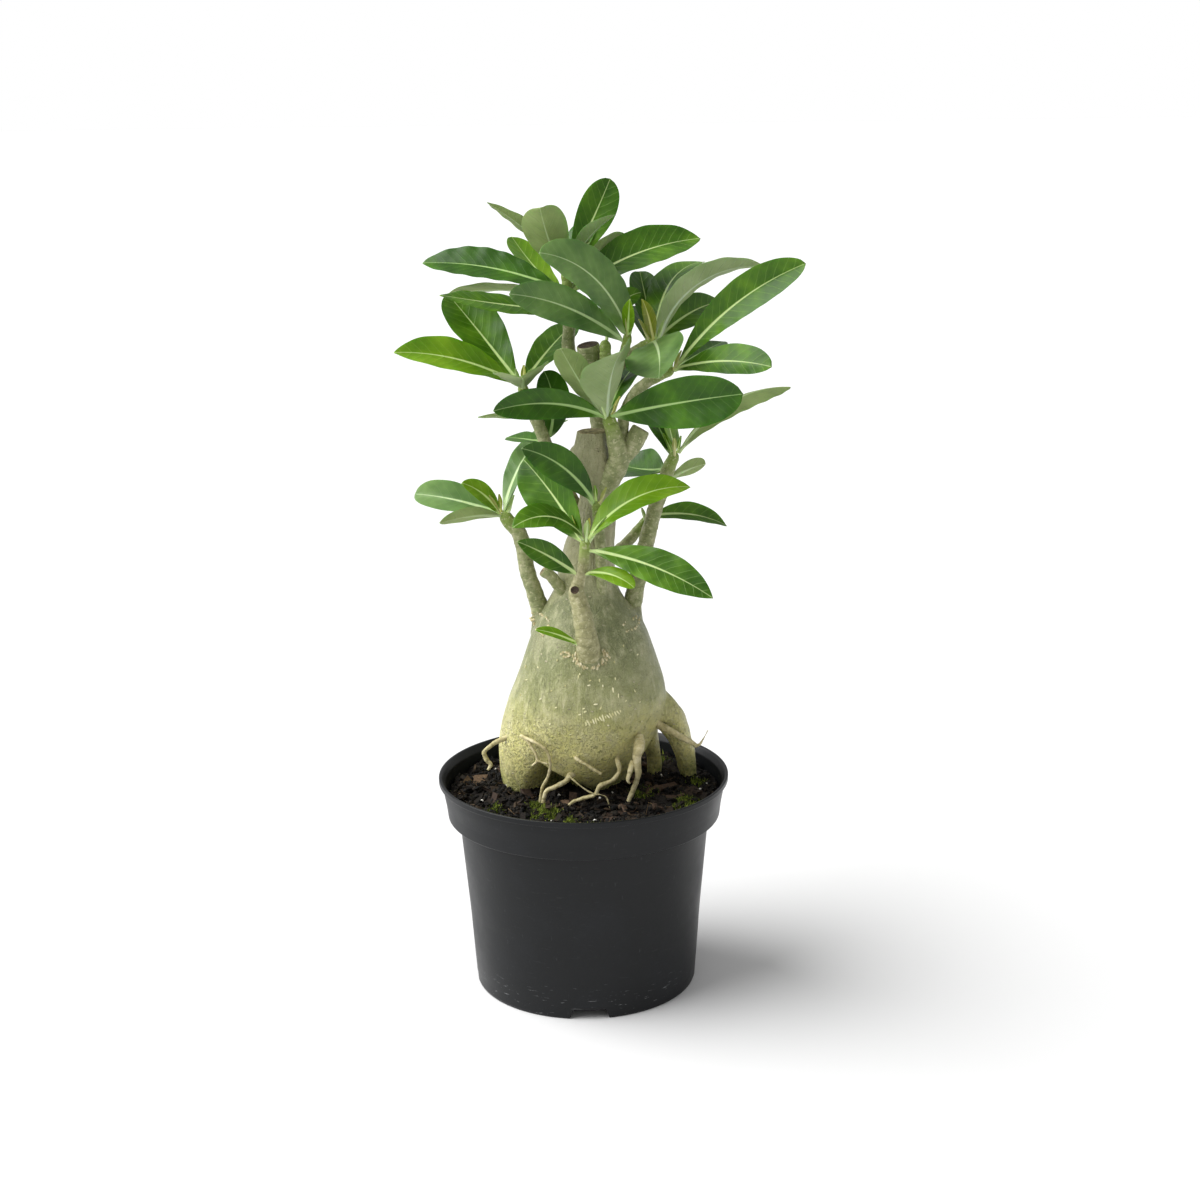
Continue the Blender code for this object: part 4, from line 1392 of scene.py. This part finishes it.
@dataclass
class Leaf:
    """One blade: where it leaves its shoot, how it arches, and its outline.

    `rise` falls by `bend` and the azimuth turns by `sweep` over the length; the
    blade is rolled about its midrib and folded up along it.
    """

    name: str
    shoot: str
    drop: float
    azimuth: float
    rise: float
    bend: float
    sweep: float
    length: float
    width: float
    roll: float
    fold: float
    widest: float
    point: float
    tone: LeafTone
    wave: float = 0.32

    def half_width(self, u: Array) -> Array:
        """Outline: W/2 times u to the a times (1-u) to the p over its peak; a = p·w/(1-w)."""
        power = self.point * self.widest / (1 - self.widest)
        peak = self.widest ** power * (1 - self.widest) ** self.point
        shape = self.width / 2 * u ** power * np.clip(1 - u, 0, 1) ** self.point / peak
        return np.maximum(shape, (0.80 - 0.1 * u) * np.clip((1 - u) / 0.02, 0.15, 1))

    def spine(self, u: Array) -> tuple[Array, Array, Array]:
        """Midrib and its frame.

        Args:
            u: even shares of the length, 0 to 1.

        Returns:
            (n, 3) positions, side directions and upward normals, already rolled.
        """
        a = np.radians(self.azimuth + self.sweep * u)
        r = np.radians(self.rise - self.bend * u)
        tangent = np.stack([np.cos(r) * np.cos(a), np.cos(r) * np.sin(a), np.sin(r)], -1)
        side = np.stack([-np.sin(a), np.cos(a), np.zeros_like(a)], -1)
        normal = np.cross(tangent, side)
        turn = math.radians(self.roll)
        axis, radius = shoot_place(self.shoot, self.drop)
        start = axis + np.array([math.cos(a[0]), math.sin(a[0]), 0]) * (radius - 0.9)
        step = (self.length + 1.4) / (len(u) - 1)
        middle = (tangent[1:] + tangent[:-1]) / 2 * step
        path = start + np.concatenate([np.zeros((1, 3)), np.cumsum(middle, axis=0)])
        return (path, side * math.cos(turn) + normal * math.sin(turn),
                normal * math.cos(turn) - side * math.sin(turn))

    def build(self, finishes: Sequence[bpy.types.Material]) -> bpy.types.Object:
        """Sweep the blade's section along the midrib.

        Args:
            finishes: top and underside.

        Returns:
            A closed blade. Its section is folded up from a rounded keel, waves
            towards the margin, and carries a raised midrib below.
        """
        rows, half = 60, 13
        u = np.linspace(0, 1, rows)
        path, side, normal = self.spine(u)
        width = self.half_width(u)[:, None]
        v = np.sin(np.linspace(-math.pi / 2, math.pi / 2, 2 * half + 1))[None]
        seed = sum(map(ord, self.name))
        rng = np.random.default_rng(seed)
        lean = math.radians(self.fold)
        blade = smoothstep(0.08, 0.30, u)[:, None]
        soft = np.sqrt(v ** 2 + 0.02) - math.sqrt(0.02)
        curl = rng.uniform(-0.10, 0.16)
        lift = width * (soft * math.sin(lean) + curl * v ** 2 * blade)
        beat = rng.uniform(11, 17)
        phase = rng.uniform(0, TAU, 2)
        edge = np.where(v > 0, np.sin(u[:, None] * self.length / beat * TAU + phase[0]),
                        np.sin(u[:, None] * self.length / beat * TAU * 1.13 + phase[1]))
        lift = lift + self.wave * self.width / 22 * edge * v ** 2 * blade * (1 - 0.3 * u[:, None])
        out = width * v * math.cos(lean)
        thick = (0.95 - 0.45 * blade * np.abs(v) ** 1.5) * (1 - 0.35 * u[:, None])
        thick = thick + (1 - blade) * 0.75
        rim = np.sqrt(np.clip(1 - v ** 4, 0, 1))
        rib = np.exp(-(out / 0.75) ** 2) * (1 - u[:, None]) * blade
        up = lift + thick / 2 * rim - 0.12 * rib
        down = lift - thick / 2 * rim - 0.75 * rib
        across = np.concatenate([out, out[:, -2:0:-1]], axis=1)
        height = np.concatenate([up, down[:, -2:0:-1]], axis=1)
        grid = path[:, None] + across[..., None] * side[:, None] + height[..., None] * normal[:, None]
        grid = capped(grid)
        columns = grid.shape[1]
        mesh = rings_mesh(f"{self.name}_blade", grid)
        flat_u = np.repeat(u * self.length, columns)
        uv = np.stack([flat_u * 0.01, 0.5 + (across / math.cos(lean)).ravel() * 0.01], -1)
        uv = np.vstack([uv, [0, 0.5], [self.length * 0.01, 0.5]])
        set_uv(mesh, uv)
        set_attribute(mesh, "along", np.concatenate([np.repeat(u, columns), [0, 1]]))
        column = np.arange(columns)
        under = (column >= 2 * half).astype(np.int32)
        slots = np.concatenate([np.tile(under, rows - 1), under, under])
        mesh.polygons.foreach_set("material_index", slots)
        return place(mesh, finishes, [self.name] if self.name in NODES else [])


# number, shoot, drop from its tip, azimuth, rise, bend, sweep, length, width, roll, fold,
# place of the widest point, bluntness of the tip, tone
LEAVES: tuple[Leaf, ...] = tuple(Leaf(f"leaf_{number}", *row) for number, *row in (
    ("01", "top_shoot", 0.5, -154, 53, 27, 10, 53, 19, 5, 10, 0.55, 0.9, MATURE),
    ("02", "top_shoot", 2.5, -116, 40, -17, 10, 44, 24, 25, 25, 0.66, 0.5, MATURE),
    ("03", "top_shoot", 1.5, -25, 68, 40, 0, 37, 18, -5, 15, 0.62, 0.7, DEEP),
    ("04", "top_shoot", 0.5, 40, 53, -3, 10, 51, 20, 50, 20, 0.66, 0.6, MATURE),
    ("05", "top_shoot", 2.0, 60, 53, 19, 0, 39, 19, -10, 10, 0.62, 0.6, DEEP),
    ("07", "top_shoot", 11.5, 49, 42, 33, -5, 48, 22, -60, 5, 0.6, 0.6, MATURE),
    ("08", "top_shoot", 12.0, 22, 35, 32, -5, 73, 26, 40, 15, 0.6, 0.75, MATURE),
    ("09", "top_shoot", 14.5, 138, 29, -15, -5, 46, 19, 0, 10, 0.66, 0.5, FRESH),
    ("10", "top_shoot", 11.5, 168, 24, 27, 0, 73, 24, -35, 20, 0.6, 0.75, DEEP),
    ("12", "top_shoot", 14.0, 160, 11, 23, -10, 65, 17, 20, 10, 0.55, 0.9, MATURE),
    ("13", "top_shoot", 21.0, -146, 8, -4, -10, 68, 17, -30, 10, 0.55, 0.9, MATURE),
    ("14", "crown_twig", 0.5, -149, 74, 66, 0, 66, 28, -65, 15, 0.48, 0.6, DULL),
    ("15", "crown_twig", 5.0, -165, 41, 34, 10, 64, 20, -80, 20, 0.62, 0.6, DULL),
    ("16", "bud", 0.5, 66, 78, 72, -40, 33, 11, 55, 20, 0.65, 0.6, MATURE),
    ("17", "crown_shoot", 0.5, 105, 53, 14, -5, 42, 18, 5, 20, 0.62, 0.5, MATURE),
    ("18", "crown_shoot", 0.5, 75, 76, 75, -35, 59, 21, 0, 10, 0.6, 0.6, MATURE),
    ("19", "crown_shoot", 0.5, -6, 76, 82, 0, 68, 19, -35, 15, 0.5, 0.8, DULL),
    ("20", "right_shoot", 1.0, -16, 57, 35, 5, 83, 20, 75, 20, 0.66, 0.6, MATURE),
    ("21", "crown_shoot", 0.5, 43, 34, 34, 5, 50, 20, 35, 15, 0.6, 0.7, MATURE),
    ("22", "crown_shoot", 1.5, -111, 76, 28, -10, 24, 8, -120, 20, 0.5, 0.9, BRONZE),
    ("23", "crown_twig", 0.5, -86, 61, 6, 0, 20, 8, 140, 15, 0.5, 0.9, FRESH),
    ("24", "crown_shoot", 3.5, 104, 38, 5, 5, 26, 15, 25, 10, 0.6, 0.7, MATURE),
    ("25", "crown_shoot", 1.5, -81, -5, 23, -15, 42, 33, 25, 20, 0.66, 0.45, DULL),
    ("26", "right_shoot", 1.0, -42, 21, 30, 10, 56, 18, 50, 15, 0.66, 0.55, MATURE),
    ("27", "right_shoot", 0.5, 45, 20, 12, 5, 39, 17, 5, 10, 0.6, 0.7, DEEP),
    ("28", "right_branch", 0.5, 34, 47, 54, 0, 79, 19, -175, 15, 0.6, 0.8, MATURE),
    ("29", "fork", 1.0, -38, 16, 7, 15, 73, 27, 95, 20, 0.66, 0.55, DEEP),
    ("30", "fork", 0.5, -90, 60, 28, 20, 49, 34, 30, 25, 0.68, 0.5, DULL),
    ("31", "fork", 0.5, 67, 49, 33, -15, 42, 17, -10, 10, 0.6, 0.7, DEEP),
    ("32", "fork", 1.5, -146, 28, 40, -10, 61, 17, -85, 25, 0.62, 0.6, DEEP),
    ("33", "fork", 0.5, -163, 8, 11, 0, 62, 17, 25, 5, 0.55, 0.9, MATURE),
    ("34", "left_shoot", 0.5, -164, 33, 32, 0, 64, 21, -45, 15, 0.58, 0.85, FRESH),
    ("35", "left_shoot", 0.5, 137, 42, 2, 5, 62, 27, -30, 20, 0.66, 0.6, MATURE),
    ("37", "left_shoot", 2.0, -86, 22, 14, -5, 44, 29, 10, 20, 0.62, 0.6, MATURE),
    ("38", "left_shoot", 0.5, 63, 31, 7, -10, 55, 19, 10, 15, 0.62, 0.7, MATURE),
    ("39", "top_shoot", 24.0, -167, 14, -11, -5, 25, 15, 35, 10, 0.6, 0.6, MATURE),
    ("40", "left_shoot", 32.5, 33, 66, -53, -5, 34, 18, 75, 20, 0.62, 0.5, DEEP),
    ("41", "fork", 0.5, -148, 53, -3, 10, 42, 20, 20, 10, 0.64, 0.5, MATURE),
    ("42", "fork", 0.5, 123, 33, 7, -5, 37, 17, 15, 10, 0.66, 0.6, DEEP),
    ("43", "left_branch", 0.5, 70, 57, 47, -25, 70, 16, -10, 15, 0.55, 0.8, DULL),
    ("44", "left_shoot", 35.0, 134, 3, 9, 0, 26, 13, -15, 10, 0.6, 0.8, DEEP),
    ("45", "second_branch", 0.5, -148, 59, 43, 5, 52, 18, -100, 20, 0.6, 0.7, DEEP),
    ("46", "front_branch", 2.5, 143, 56, 22, -5, 52, 26, -70, 20, 0.62, 0.6, MATURE),
    ("47", "front_branch", 0.5, -143, 58, 84, 0, 46, 17, -35, 10, 0.55, 0.8, MATURE),
    ("48", "front_branch", 0.5, 6, 57, 65, 10, 58, 20, 35, 15, 0.55, 0.85, FRESH),
    ("49", "front_branch", 6.0, -21, -2, 27, -5, 67, 20, 50, 20, 0.58, 0.9, MATURE),
    ("50", "front_branch", 18.0, -164, 40, 15, 10, 35, 13, -80, 20, 0.55, 0.85, MATURE),
    ("51", "front_branch", 18.0, -22, 18, 53, -10, 27, 10, 40, 20, 0.65, 0.6, FRESH),
    ("52", "left_branch", 1.0, 170, 20, 21, -15, 45, 18, -50, 20, 0.62, 0.55, DULL),
    ("53", "left_branch", 0.5, -153, 61, 40, 5, 26, 11, -65, 15, 0.55, 0.7, FRESH),
    ("54", "left_branch", 2.0, -146, 14, 25, 0, 34, 12, 50, 10, 0.6, 0.7, MATURE),
    ("56", "front_branch", 54.0, -155, 36, 22, 0, 24, 7, -40, 20, 0.6, 0.7, FRESH),
    ("57", "right_branch", 10.5, 126, -10, -9, -5, 34, 24, -35, 20, 0.6, 0.6, DEEP),
    ("58", "right_branch", 15.0, 33, 24, 22, 0, 22, 10, -70, 15, 0.65, 0.5, MATURE),
    ("59", "right_twig", 0.5, 31, 6, 36, -5, 47, 14, 40, 20, 0.55, 0.85, MATURE),
    ("60", "right_branch", 0.5, 102, 42, 0, 0, 30, 17, 45, 10, 0.6, 0.7, FRESH),
    ("61", "right_branch", 2.5, 116, 43, 18, -5, 33, 19, 15, 10, 0.62, 0.6, DEEP),
))


# x, y, z and radius of surface roots and the finer rootlets beside them
ROOTS: dict[str, list[tuple[float, float, float, float]]] = {
    "root_loop": [(-31, -24, 140.3, 0.9), (-28, -28, 140, 0.85), (-23, -31.0, 138.6, 0.8),
                  (-18.4, -31.5, 135, 0.8), (-16.5, -30.5, 128, 0.8), (-17.6, -28, 120, 0.8),
                  (-20.8, -25, 112.5, 0.8), (-22, -24, 104, 0.8)],
    "root_fork": [(-2, -10, 118, 1.6), (-6, -25, 119.5, 1.9), (-8.7, -27.5, 117, 1.3),
                  (-14.3, -28, 114, 1.2), (-18.9, -28, 111.4, 1.1), (-21, -28, 102, 1.0)],
    "root_curl": [(17, -24, 129, 1.0), (17.7, -29, 126.5, 1.2), (18.2, -30, 122.5, 1.05),
                  (14.6, -30.5, 118.2, 1.0), (8.5, -30.5, 115.2, 1.15), (5.9, -30.5, 110.6, 1.0),
                  (0, -30.5, 108.8, 1.0), (-5.8, -31, 106.6, 0.9), (-10, -31, 102, 0.8)],
    "root_knot": [(29, -24, 140, 2.0), (28.3, -28, 134.5, 2.8), (27.3, -28.5, 131, 2.3),
                  (27.2, -28.5, 127, 2.0), (27.8, -28, 120, 1.5), (25.5, -26.5, 112, 1.25),
                  (22.5, -26.5, 105, 1.2), (21, -26, 99, 1.1)],
    "root_spur": [(34, -6, 142, 2.4), (44, -8, 137, 1.9), (50, -7, 133, 1.7), (55, -6, 130, 1.4),
                  (58.5, -5, 127, 1.1)],
    "net_root": [(-30.5, -24, 139.8, 0.6), (-27.4, -27.5, 138, 0.75), (-24, -29.5, 132.7, 0.7),
                 (-23.1, -30, 128.9, 0.65), (-25.6, -29.5, 126, 0.5)],
    "net_twig": [(-23.3, -29.8, 129.2, 0.6), (-20.5, -30.6, 128.2, 0.55), (-17.6, -31, 127.4, 0.4)],
    "side_root": [(-38, -10, 135, 1.3), (-44, -11, 132.9, 1.2), (-48.2, -10.5, 129.7, 1.1),
                  (-50.8, -10, 126.5, 1.1), (-49.5, -10.5, 122.7, 1.1), (-47.5, -11, 120.5, 1.0),
                  (-49, -12, 117.8, 0.7)],
    "snapped_root": [(-4, -28, 131.0, 0.7), (-2.9, -32.0, 130.2, 0.8), (3.1, -33.4, 126.6, 0.8),
                     (9.1, -32.6, 122.3, 0.9)],
    "thread_root": [(-7, -24, 121, 0.4), (-5.6, -30, 119.1, 0.4), (3.4, -31, 112.1, 0.35),
                    (11, -31, 109.8, 0.35), (13.4, -31, 103.5, 0.3)],
    "spur_thread": [(57.5, -6, 127.4, 0.9), (60.1, -8, 129.3, 0.5), (62.3, -8, 133, 0.3),
                    (64.2, -8, 136.8, 0.2)],
    "hooked_root": [(25.5, -27, 127, 1.6), (23.6, -30, 122.5, 1.3), (22.6, -31, 118.5, 0.8),
                    (23.6, -31, 116.3, 0.35)],
}


@dataclass
class Scab:
    """Pale corky crumbs set in the bark round a scar or a branch's foot."""

    name: str
    centre: tuple[float, float, float]
    across: float
    count: int
    size: tuple[float, float, float]
    seed: int
    rise: float = 0.5

    def build(self, skin: Array) -> bpy.types.Object:
        """Press the crumbs on to the stem's front.

        Args:
            skin: (n, 3) points of the swollen stem in mm.

        Returns:
            Lumps placed round an ellipse, resting on the skin.
        """
        rng = np.random.default_rng(self.seed)
        turn = rng.uniform(0, TAU, self.count)
        out = self.across * rng.normal(1, 0.10, self.count)
        x = self.centre[0] + out * np.cos(turn)
        z = self.centre[2] + out * np.sin(turn) * self.rise
        y = skin_depth(skin, x, z) + self.centre[1]
        sizes = np.array(self.size)[None] * rng.uniform(0.6, 1.4, (self.count, 3))
        turns = rng.normal(0, 0.2, (3, self.count)).T
        mesh = scatter_mesh(self.name, LUMP, LUMP_FACES, np.stack([x, y, z], -1), turns, sizes,
                            self.seed, 0.25)
        finish = Crumb("pale_cork", ((0.1, "#9C9068"), (0.5, "#C8BD92"), (0.95, "#E2DABB")))
        return place(mesh, [finish.build()])


def skin_depth(skin: Array, x: Array, z: Array) -> Array:
    """Depth of the stem's front at each width and height, read from its nearest point there."""
    front = skin[skin[:, 1] < 2]
    gap = (front[None, :, 0] - x[:, None]) ** 2 + (front[None, :, 2] - z[:, None]) ** 2
    return front[gap.argmin(axis=1), 1]


@dataclass
class Pores:
    """Pale corky dashes in the bark, each at its own place.

    Every entry is width, height, half length in mm and lean in degrees.
    """

    marks: tuple[tuple[float, float, float, float], ...] = (
        (-1.1, 155.1, 1.1, 80), (0.9, 158.3, 1.0, 60), (6.8, 160.4, 1.7, 80),
        (9.4, 158.4, 1.4, 25), (21.8, 160.6, 1.3, 40), (26.4, 164.3, 1.2, -30),
        (8.9, 172, 1.2, 5), (3.6, 169.7, 1.3, 80), (15.6, 166.8, 2.4, -8),
        (18.2, 164.1, 1.8, 3), (16.7, 172.2, 1.2, 0), (16.4, 180, 1.1, 0),
        (-0.8, 175.2, 0.9, 10), (-8.1, 169.1, 0.8, 0), (10.5, 169.3, 0.9, 0),
        (-9.4, 150.7, 1.4, -40), (-28.4, 173.3, 1.4, 20), (-27.7, 168.1, 1.7, 80),
        (-20.5, 161.2, 1.6, 60), (-35.4, 151.1, 1.0, 0), (-1.5, 173.8, 1.3, 5),
        (4.2, 172, 1.0, 60), (27.9, 181.1, 1.2, 50), (1.6, 156.6, 1.2, 70),
        (-21.8, 175.7, 0.9, 0),
        (-13, 158, 0.9, 70), (-16, 149, 1.1, 30), (-24, 147, 1.0, 80), (13, 149, 1.0, -60),
        (24, 152, 1.1, 30), (29, 158, 0.9, 70), (-31, 160, 1.0, 10), (-12, 181, 0.9, 15),
        (21, 187, 1.0, 5), (-15, 166, 0.9, 85), (30, 147, 0.9, 45), (-6, 144, 1.0, 70))

    def build(self, skin: Array) -> bpy.types.Object:
        """Rest the dashes on the front of the skin (an (n, 3) array in mm)."""
        step = np.arange(15)
        row = np.stack([2.0 + 1.22 * step, 150.4 + 0.40 * step, 2.1 + 0.8 * np.sin(step * 2.1),
                        -26 + 16 * np.cos(step * 1.7)], -1)
        x, z, length, lean = np.vstack([np.array(self.marks, dtype=float), row]).T
        zero = np.zeros_like(x)
        places = np.stack([x, skin_depth(skin, x, z) - 0.12, z], -1)
        sizes = np.stack([0.36 + 0.04 * length, zero + 0.3, length * 0.8], -1)
        mesh = scatter_mesh("bark_pores", LUMP, LUMP_FACES, places,
                            np.stack([zero, np.radians(lean), zero], -1), sizes, 91, 0.2)
        finish = Crumb("pore_cork", ((0.1, "#C2BC84"), (0.5, "#DEDAA8"), (0.95, "#EDE8C4")))
        return place(mesh, [finish.build()])


SCABS: tuple[Scab, ...] = (
    Scab("front_branch_scab", (4.5, 0.15, 183), 7.6, 110, (0.55, 0.5, 1.0), 71, rise=0.62),
    Scab("side_scab", (-8, 0.1, 184), 2.2, 26, (0.8, 0.6, 0.5), 73),
    Scab("left_branch_scab", (-20.5, 0.1, 195), 4.6, 40, (0.9, 0.7, 0.6), 74, rise=0.8),
    Scab("right_branch_scab", (25, 0.1, 195), 4.4, 24, (0.7, 0.6, 0.5), 75),
)


@dataclass
class Studio:
    """White floor, one broad soft light from the upper left, and the view."""

    sun: float = 4.75
    world: float = 0.49

    def build(self) -> None:
        """Lay the floor, hang the lamps and set up the camera."""
        scene = bpy.context.scene
        scene.view_settings.view_transform = "Standard"
        turn = np.array([-1, 1]) * 20.0
        verts = np.array([[x, y, 0.0] for y in turn for x in turn])
        floor = hung("studio_floor", make_mesh("studio_floor", verts, np.array([[0, 1, 3, 2]])))
        mat, tree, shader = blank("white_sweep")
        feed(tree, shader, {
            "Base Color": linear("#E0E0E0"),
            "Roughness": 0.9})
        floor.data.materials.append(mat)
        world = bpy.data.worlds.new("studio_world")
        world.use_nodes = True
        tree = world.node_tree
        seen = add(tree, "LightPath").outputs["Is Camera Ray"]
        level = add(tree, "MapRange", {"Value": seen, "To Min": self.world, "To Max": 1.0})
        tree.links.new(level.outputs["Result"], tree.nodes["Background"].inputs["Strength"])
        tree.nodes["Background"].inputs["Color"].default_value = (1, 1, 1, 1)
        scene.world = world
        self.key(-87.0, 45.0, 66.0)
        self.camera()

    def key(self, azimuth: float, height: float, softness: float) -> None:
        """Hang the broad key light.

        Args:
            azimuth: side it stands on, 0 in front of the plant and -90 to its left.
            height: degrees above the floor.
            softness: apparent width of the light in degrees.
        """
        data = bpy.data.lights.new("key_light", "SUN")
        data.energy, data.angle = self.sun, math.radians(softness)
        lamp = hung("key_light", data)
        lamp.rotation_euler = (math.radians(90 - height), 0, math.radians(azimuth))
        lamp.location = (-1.0, -0.3, 1.2)

    @staticmethod
    def camera() -> None:
        """Stand the camera a metre in front, a little above, looking slightly down."""
        data = bpy.data.cameras.new("front_camera")
        data.lens, data.sensor_width = 60.0, 36.0
        data.clip_end = 50.0
        camera = hung("front_camera", data)
        camera.location = (0.0096, -0.9834, 0.4604)
        pitch, roll = math.radians(75.4), math.radians(-0.67)
        camera.rotation_mode = "QUATERNION"
        camera.rotation_quaternion = (
            math.cos(pitch / 2) * math.cos(roll / 2), math.sin(pitch / 2) * math.cos(roll / 2),
            -math.sin(pitch / 2) * math.sin(roll / 2), math.cos(pitch / 2) * math.sin(roll / 2))
        bpy.context.scene.camera = camera


KNOT = ((-2, -29, 214.5, 3.2), (-2.4, -33, 217, 2.8), (-2.7, -35.2, 218.6, 2.3))


def sprouts() -> Iterator[Leaf]:
    """Young leaves at the growing tips: a few short blades a golden angle apart.

    Yields:
        Leaves that stand nearly upright, the inner ones shorter and more upright.
    """
    for number, (shoot, count, size) in enumerate((
            ("top_shoot", 5, 17.0), ("crown_shoot", 4, 13.0), ("crown_twig", 3, 11.0),
            ("right_shoot", 3, 12.0), ("fork", 3, 11.0), ("left_shoot", 3, 11.0),
            ("front_branch", 4, 14.0), ("left_branch", 4, 12.0), ("right_branch", 3, 11.0),
            ("second_branch", 3, 10.0), ("right_twig", 2, 8.0))):
        for i in range(count):
            share = i / count
            yield Leaf(f"sprout_{shoot}_{i}", shoot, 0.4 + 1.6 * (1 - share),
                       (number * 61 + i * 137.5) % 360, 60 + 22 * share, 10 - 16 * share, 0,
                       size * (1 - 0.45 * share), size * 0.30 * (1 - 0.3 * share), 0, 30,
                       0.58, 0.8, BRONZE if i % 2 else FRESH)


LITTER: tuple[Litter, ...] = (
    Litter("peat_crumbs", 2600, (1.3, 1.1, 0.9), 0.6, 0.4, 0.8, 41,
           Crumb("dark_peat_crumb", ((0.2, "#060504"), (0.6, "#0F0C08"), (0.95, "#2B2318")))),
    Litter("bark_flakes", 110, (4.6, 2.4, 0.7), 0.5, 0.2, 0.42, 45,
           Crumb("bark_flake", ((0.15, "#0E0B08"), (0.5, "#1E1711"), (0.8, "#3A2C22"),
                                (1.0, "#75604C"))), lump=False, rough=0.30),
    Litter("bark_strips", 34, (6.8, 2.6, 0.7), 0.5, 0.6, 0.35, 46,
           Crumb("bark_strip", ((0.15, "#15100B"), (0.5, "#2E2319"), (0.8, "#4C3A2C"),
                                (1.0, "#7C6650"))), lump=False, rough=0.30),
    Litter("bark_chips", 230, (2.4, 1.2, 0.6), 0.5, 0.3, 0.40, 42,
           Crumb("bark_chip", ((0.15, "#0D0A07"), (0.5, "#211A12"), (0.8, "#463828"),
                               (1.0, "#84705A"))), lump=False, rough=0.28),
    Litter("perlite", 44, (0.85, 0.75, 0.65), 0.35, 0.15, 0.8, 43,
           Crumb("perlite", ((0.2, "#BDB9AE"), (0.9, "#EDEAE2")), 0.9)),
    Litter("peat_fibres", 520, (3.8, 0.13, 0.11), 0.7, -1.2, 0.28, 44,
           Crumb("peat_fibre", ((0.1, "#120C08"), (0.6, "#3A2A1C"), (0.95, "#8C7656"))),
           lump=False, rough=0.1),
)


def main() -> None:
    """Build every piece on the frame, then the studio."""
    PotShell().build()
    bed = SoilBed()
    bed.build()
    for kind in LITTER:
        kind.build(bed)
    MossTufts().build(bed)
    clay_bead(bed)
    body = CaudexSkin().build()
    skin = points_of(body.data) / MM
    bark, cut = ShootBark().build(), CutWood().build()
    # near-black cut face: dark-brown knot wood, darkened further as painted shade where the knot is a
    # hole; also laid on the trunk's cut top
    knot_wood_and_hole_shade = CutWood("pruned_knot", "#1E1711", "#3A2D20", "#5E4C38").build()
    stub = ShootBark("stub_bark", "#979468", "#7C7A50", "#869C42", "#BCB690").build()
    for name, rows in SHOOTS.items():
        tip = Tip.CUT if name in ("left_stub", "fork_stub", "upper_trunk") else Tip.GROWING
        Stem(name, rows, tip).build([stub if name == "front_branch" else bark,
                                     knot_wood_and_hole_shade if name == "upper_trunk" else cut], [name])
    root_bark = ShootBark("root_bark", "#BFB484", "#968C5A", "#BFB484", "#DCD2AC", 7.0, 0.1).build()
    for name, rows in ROOTS.items():
        held = [name] if name in NODES else []
        Stem(name, rows, Tip.BURIED, ring_depth=0.05, lumps=0.14,
             columns=14).build([root_bark], held)
    for scab in SCABS:
        scab.build(skin)
    Pores().build(skin)
    Stem("pruned_knot", KNOT, Tip.CUT, lumps=0.2).build([stub, knot_wood_and_hole_shade])
    tones = {tone: leaf_finishes(tone) for tone in LeafTone}
    for leaf in (*LEAVES, *sprouts()):
        leaf.build(tones[leaf.tone])
    Studio().build()


if __name__ == "__main__":
    main()
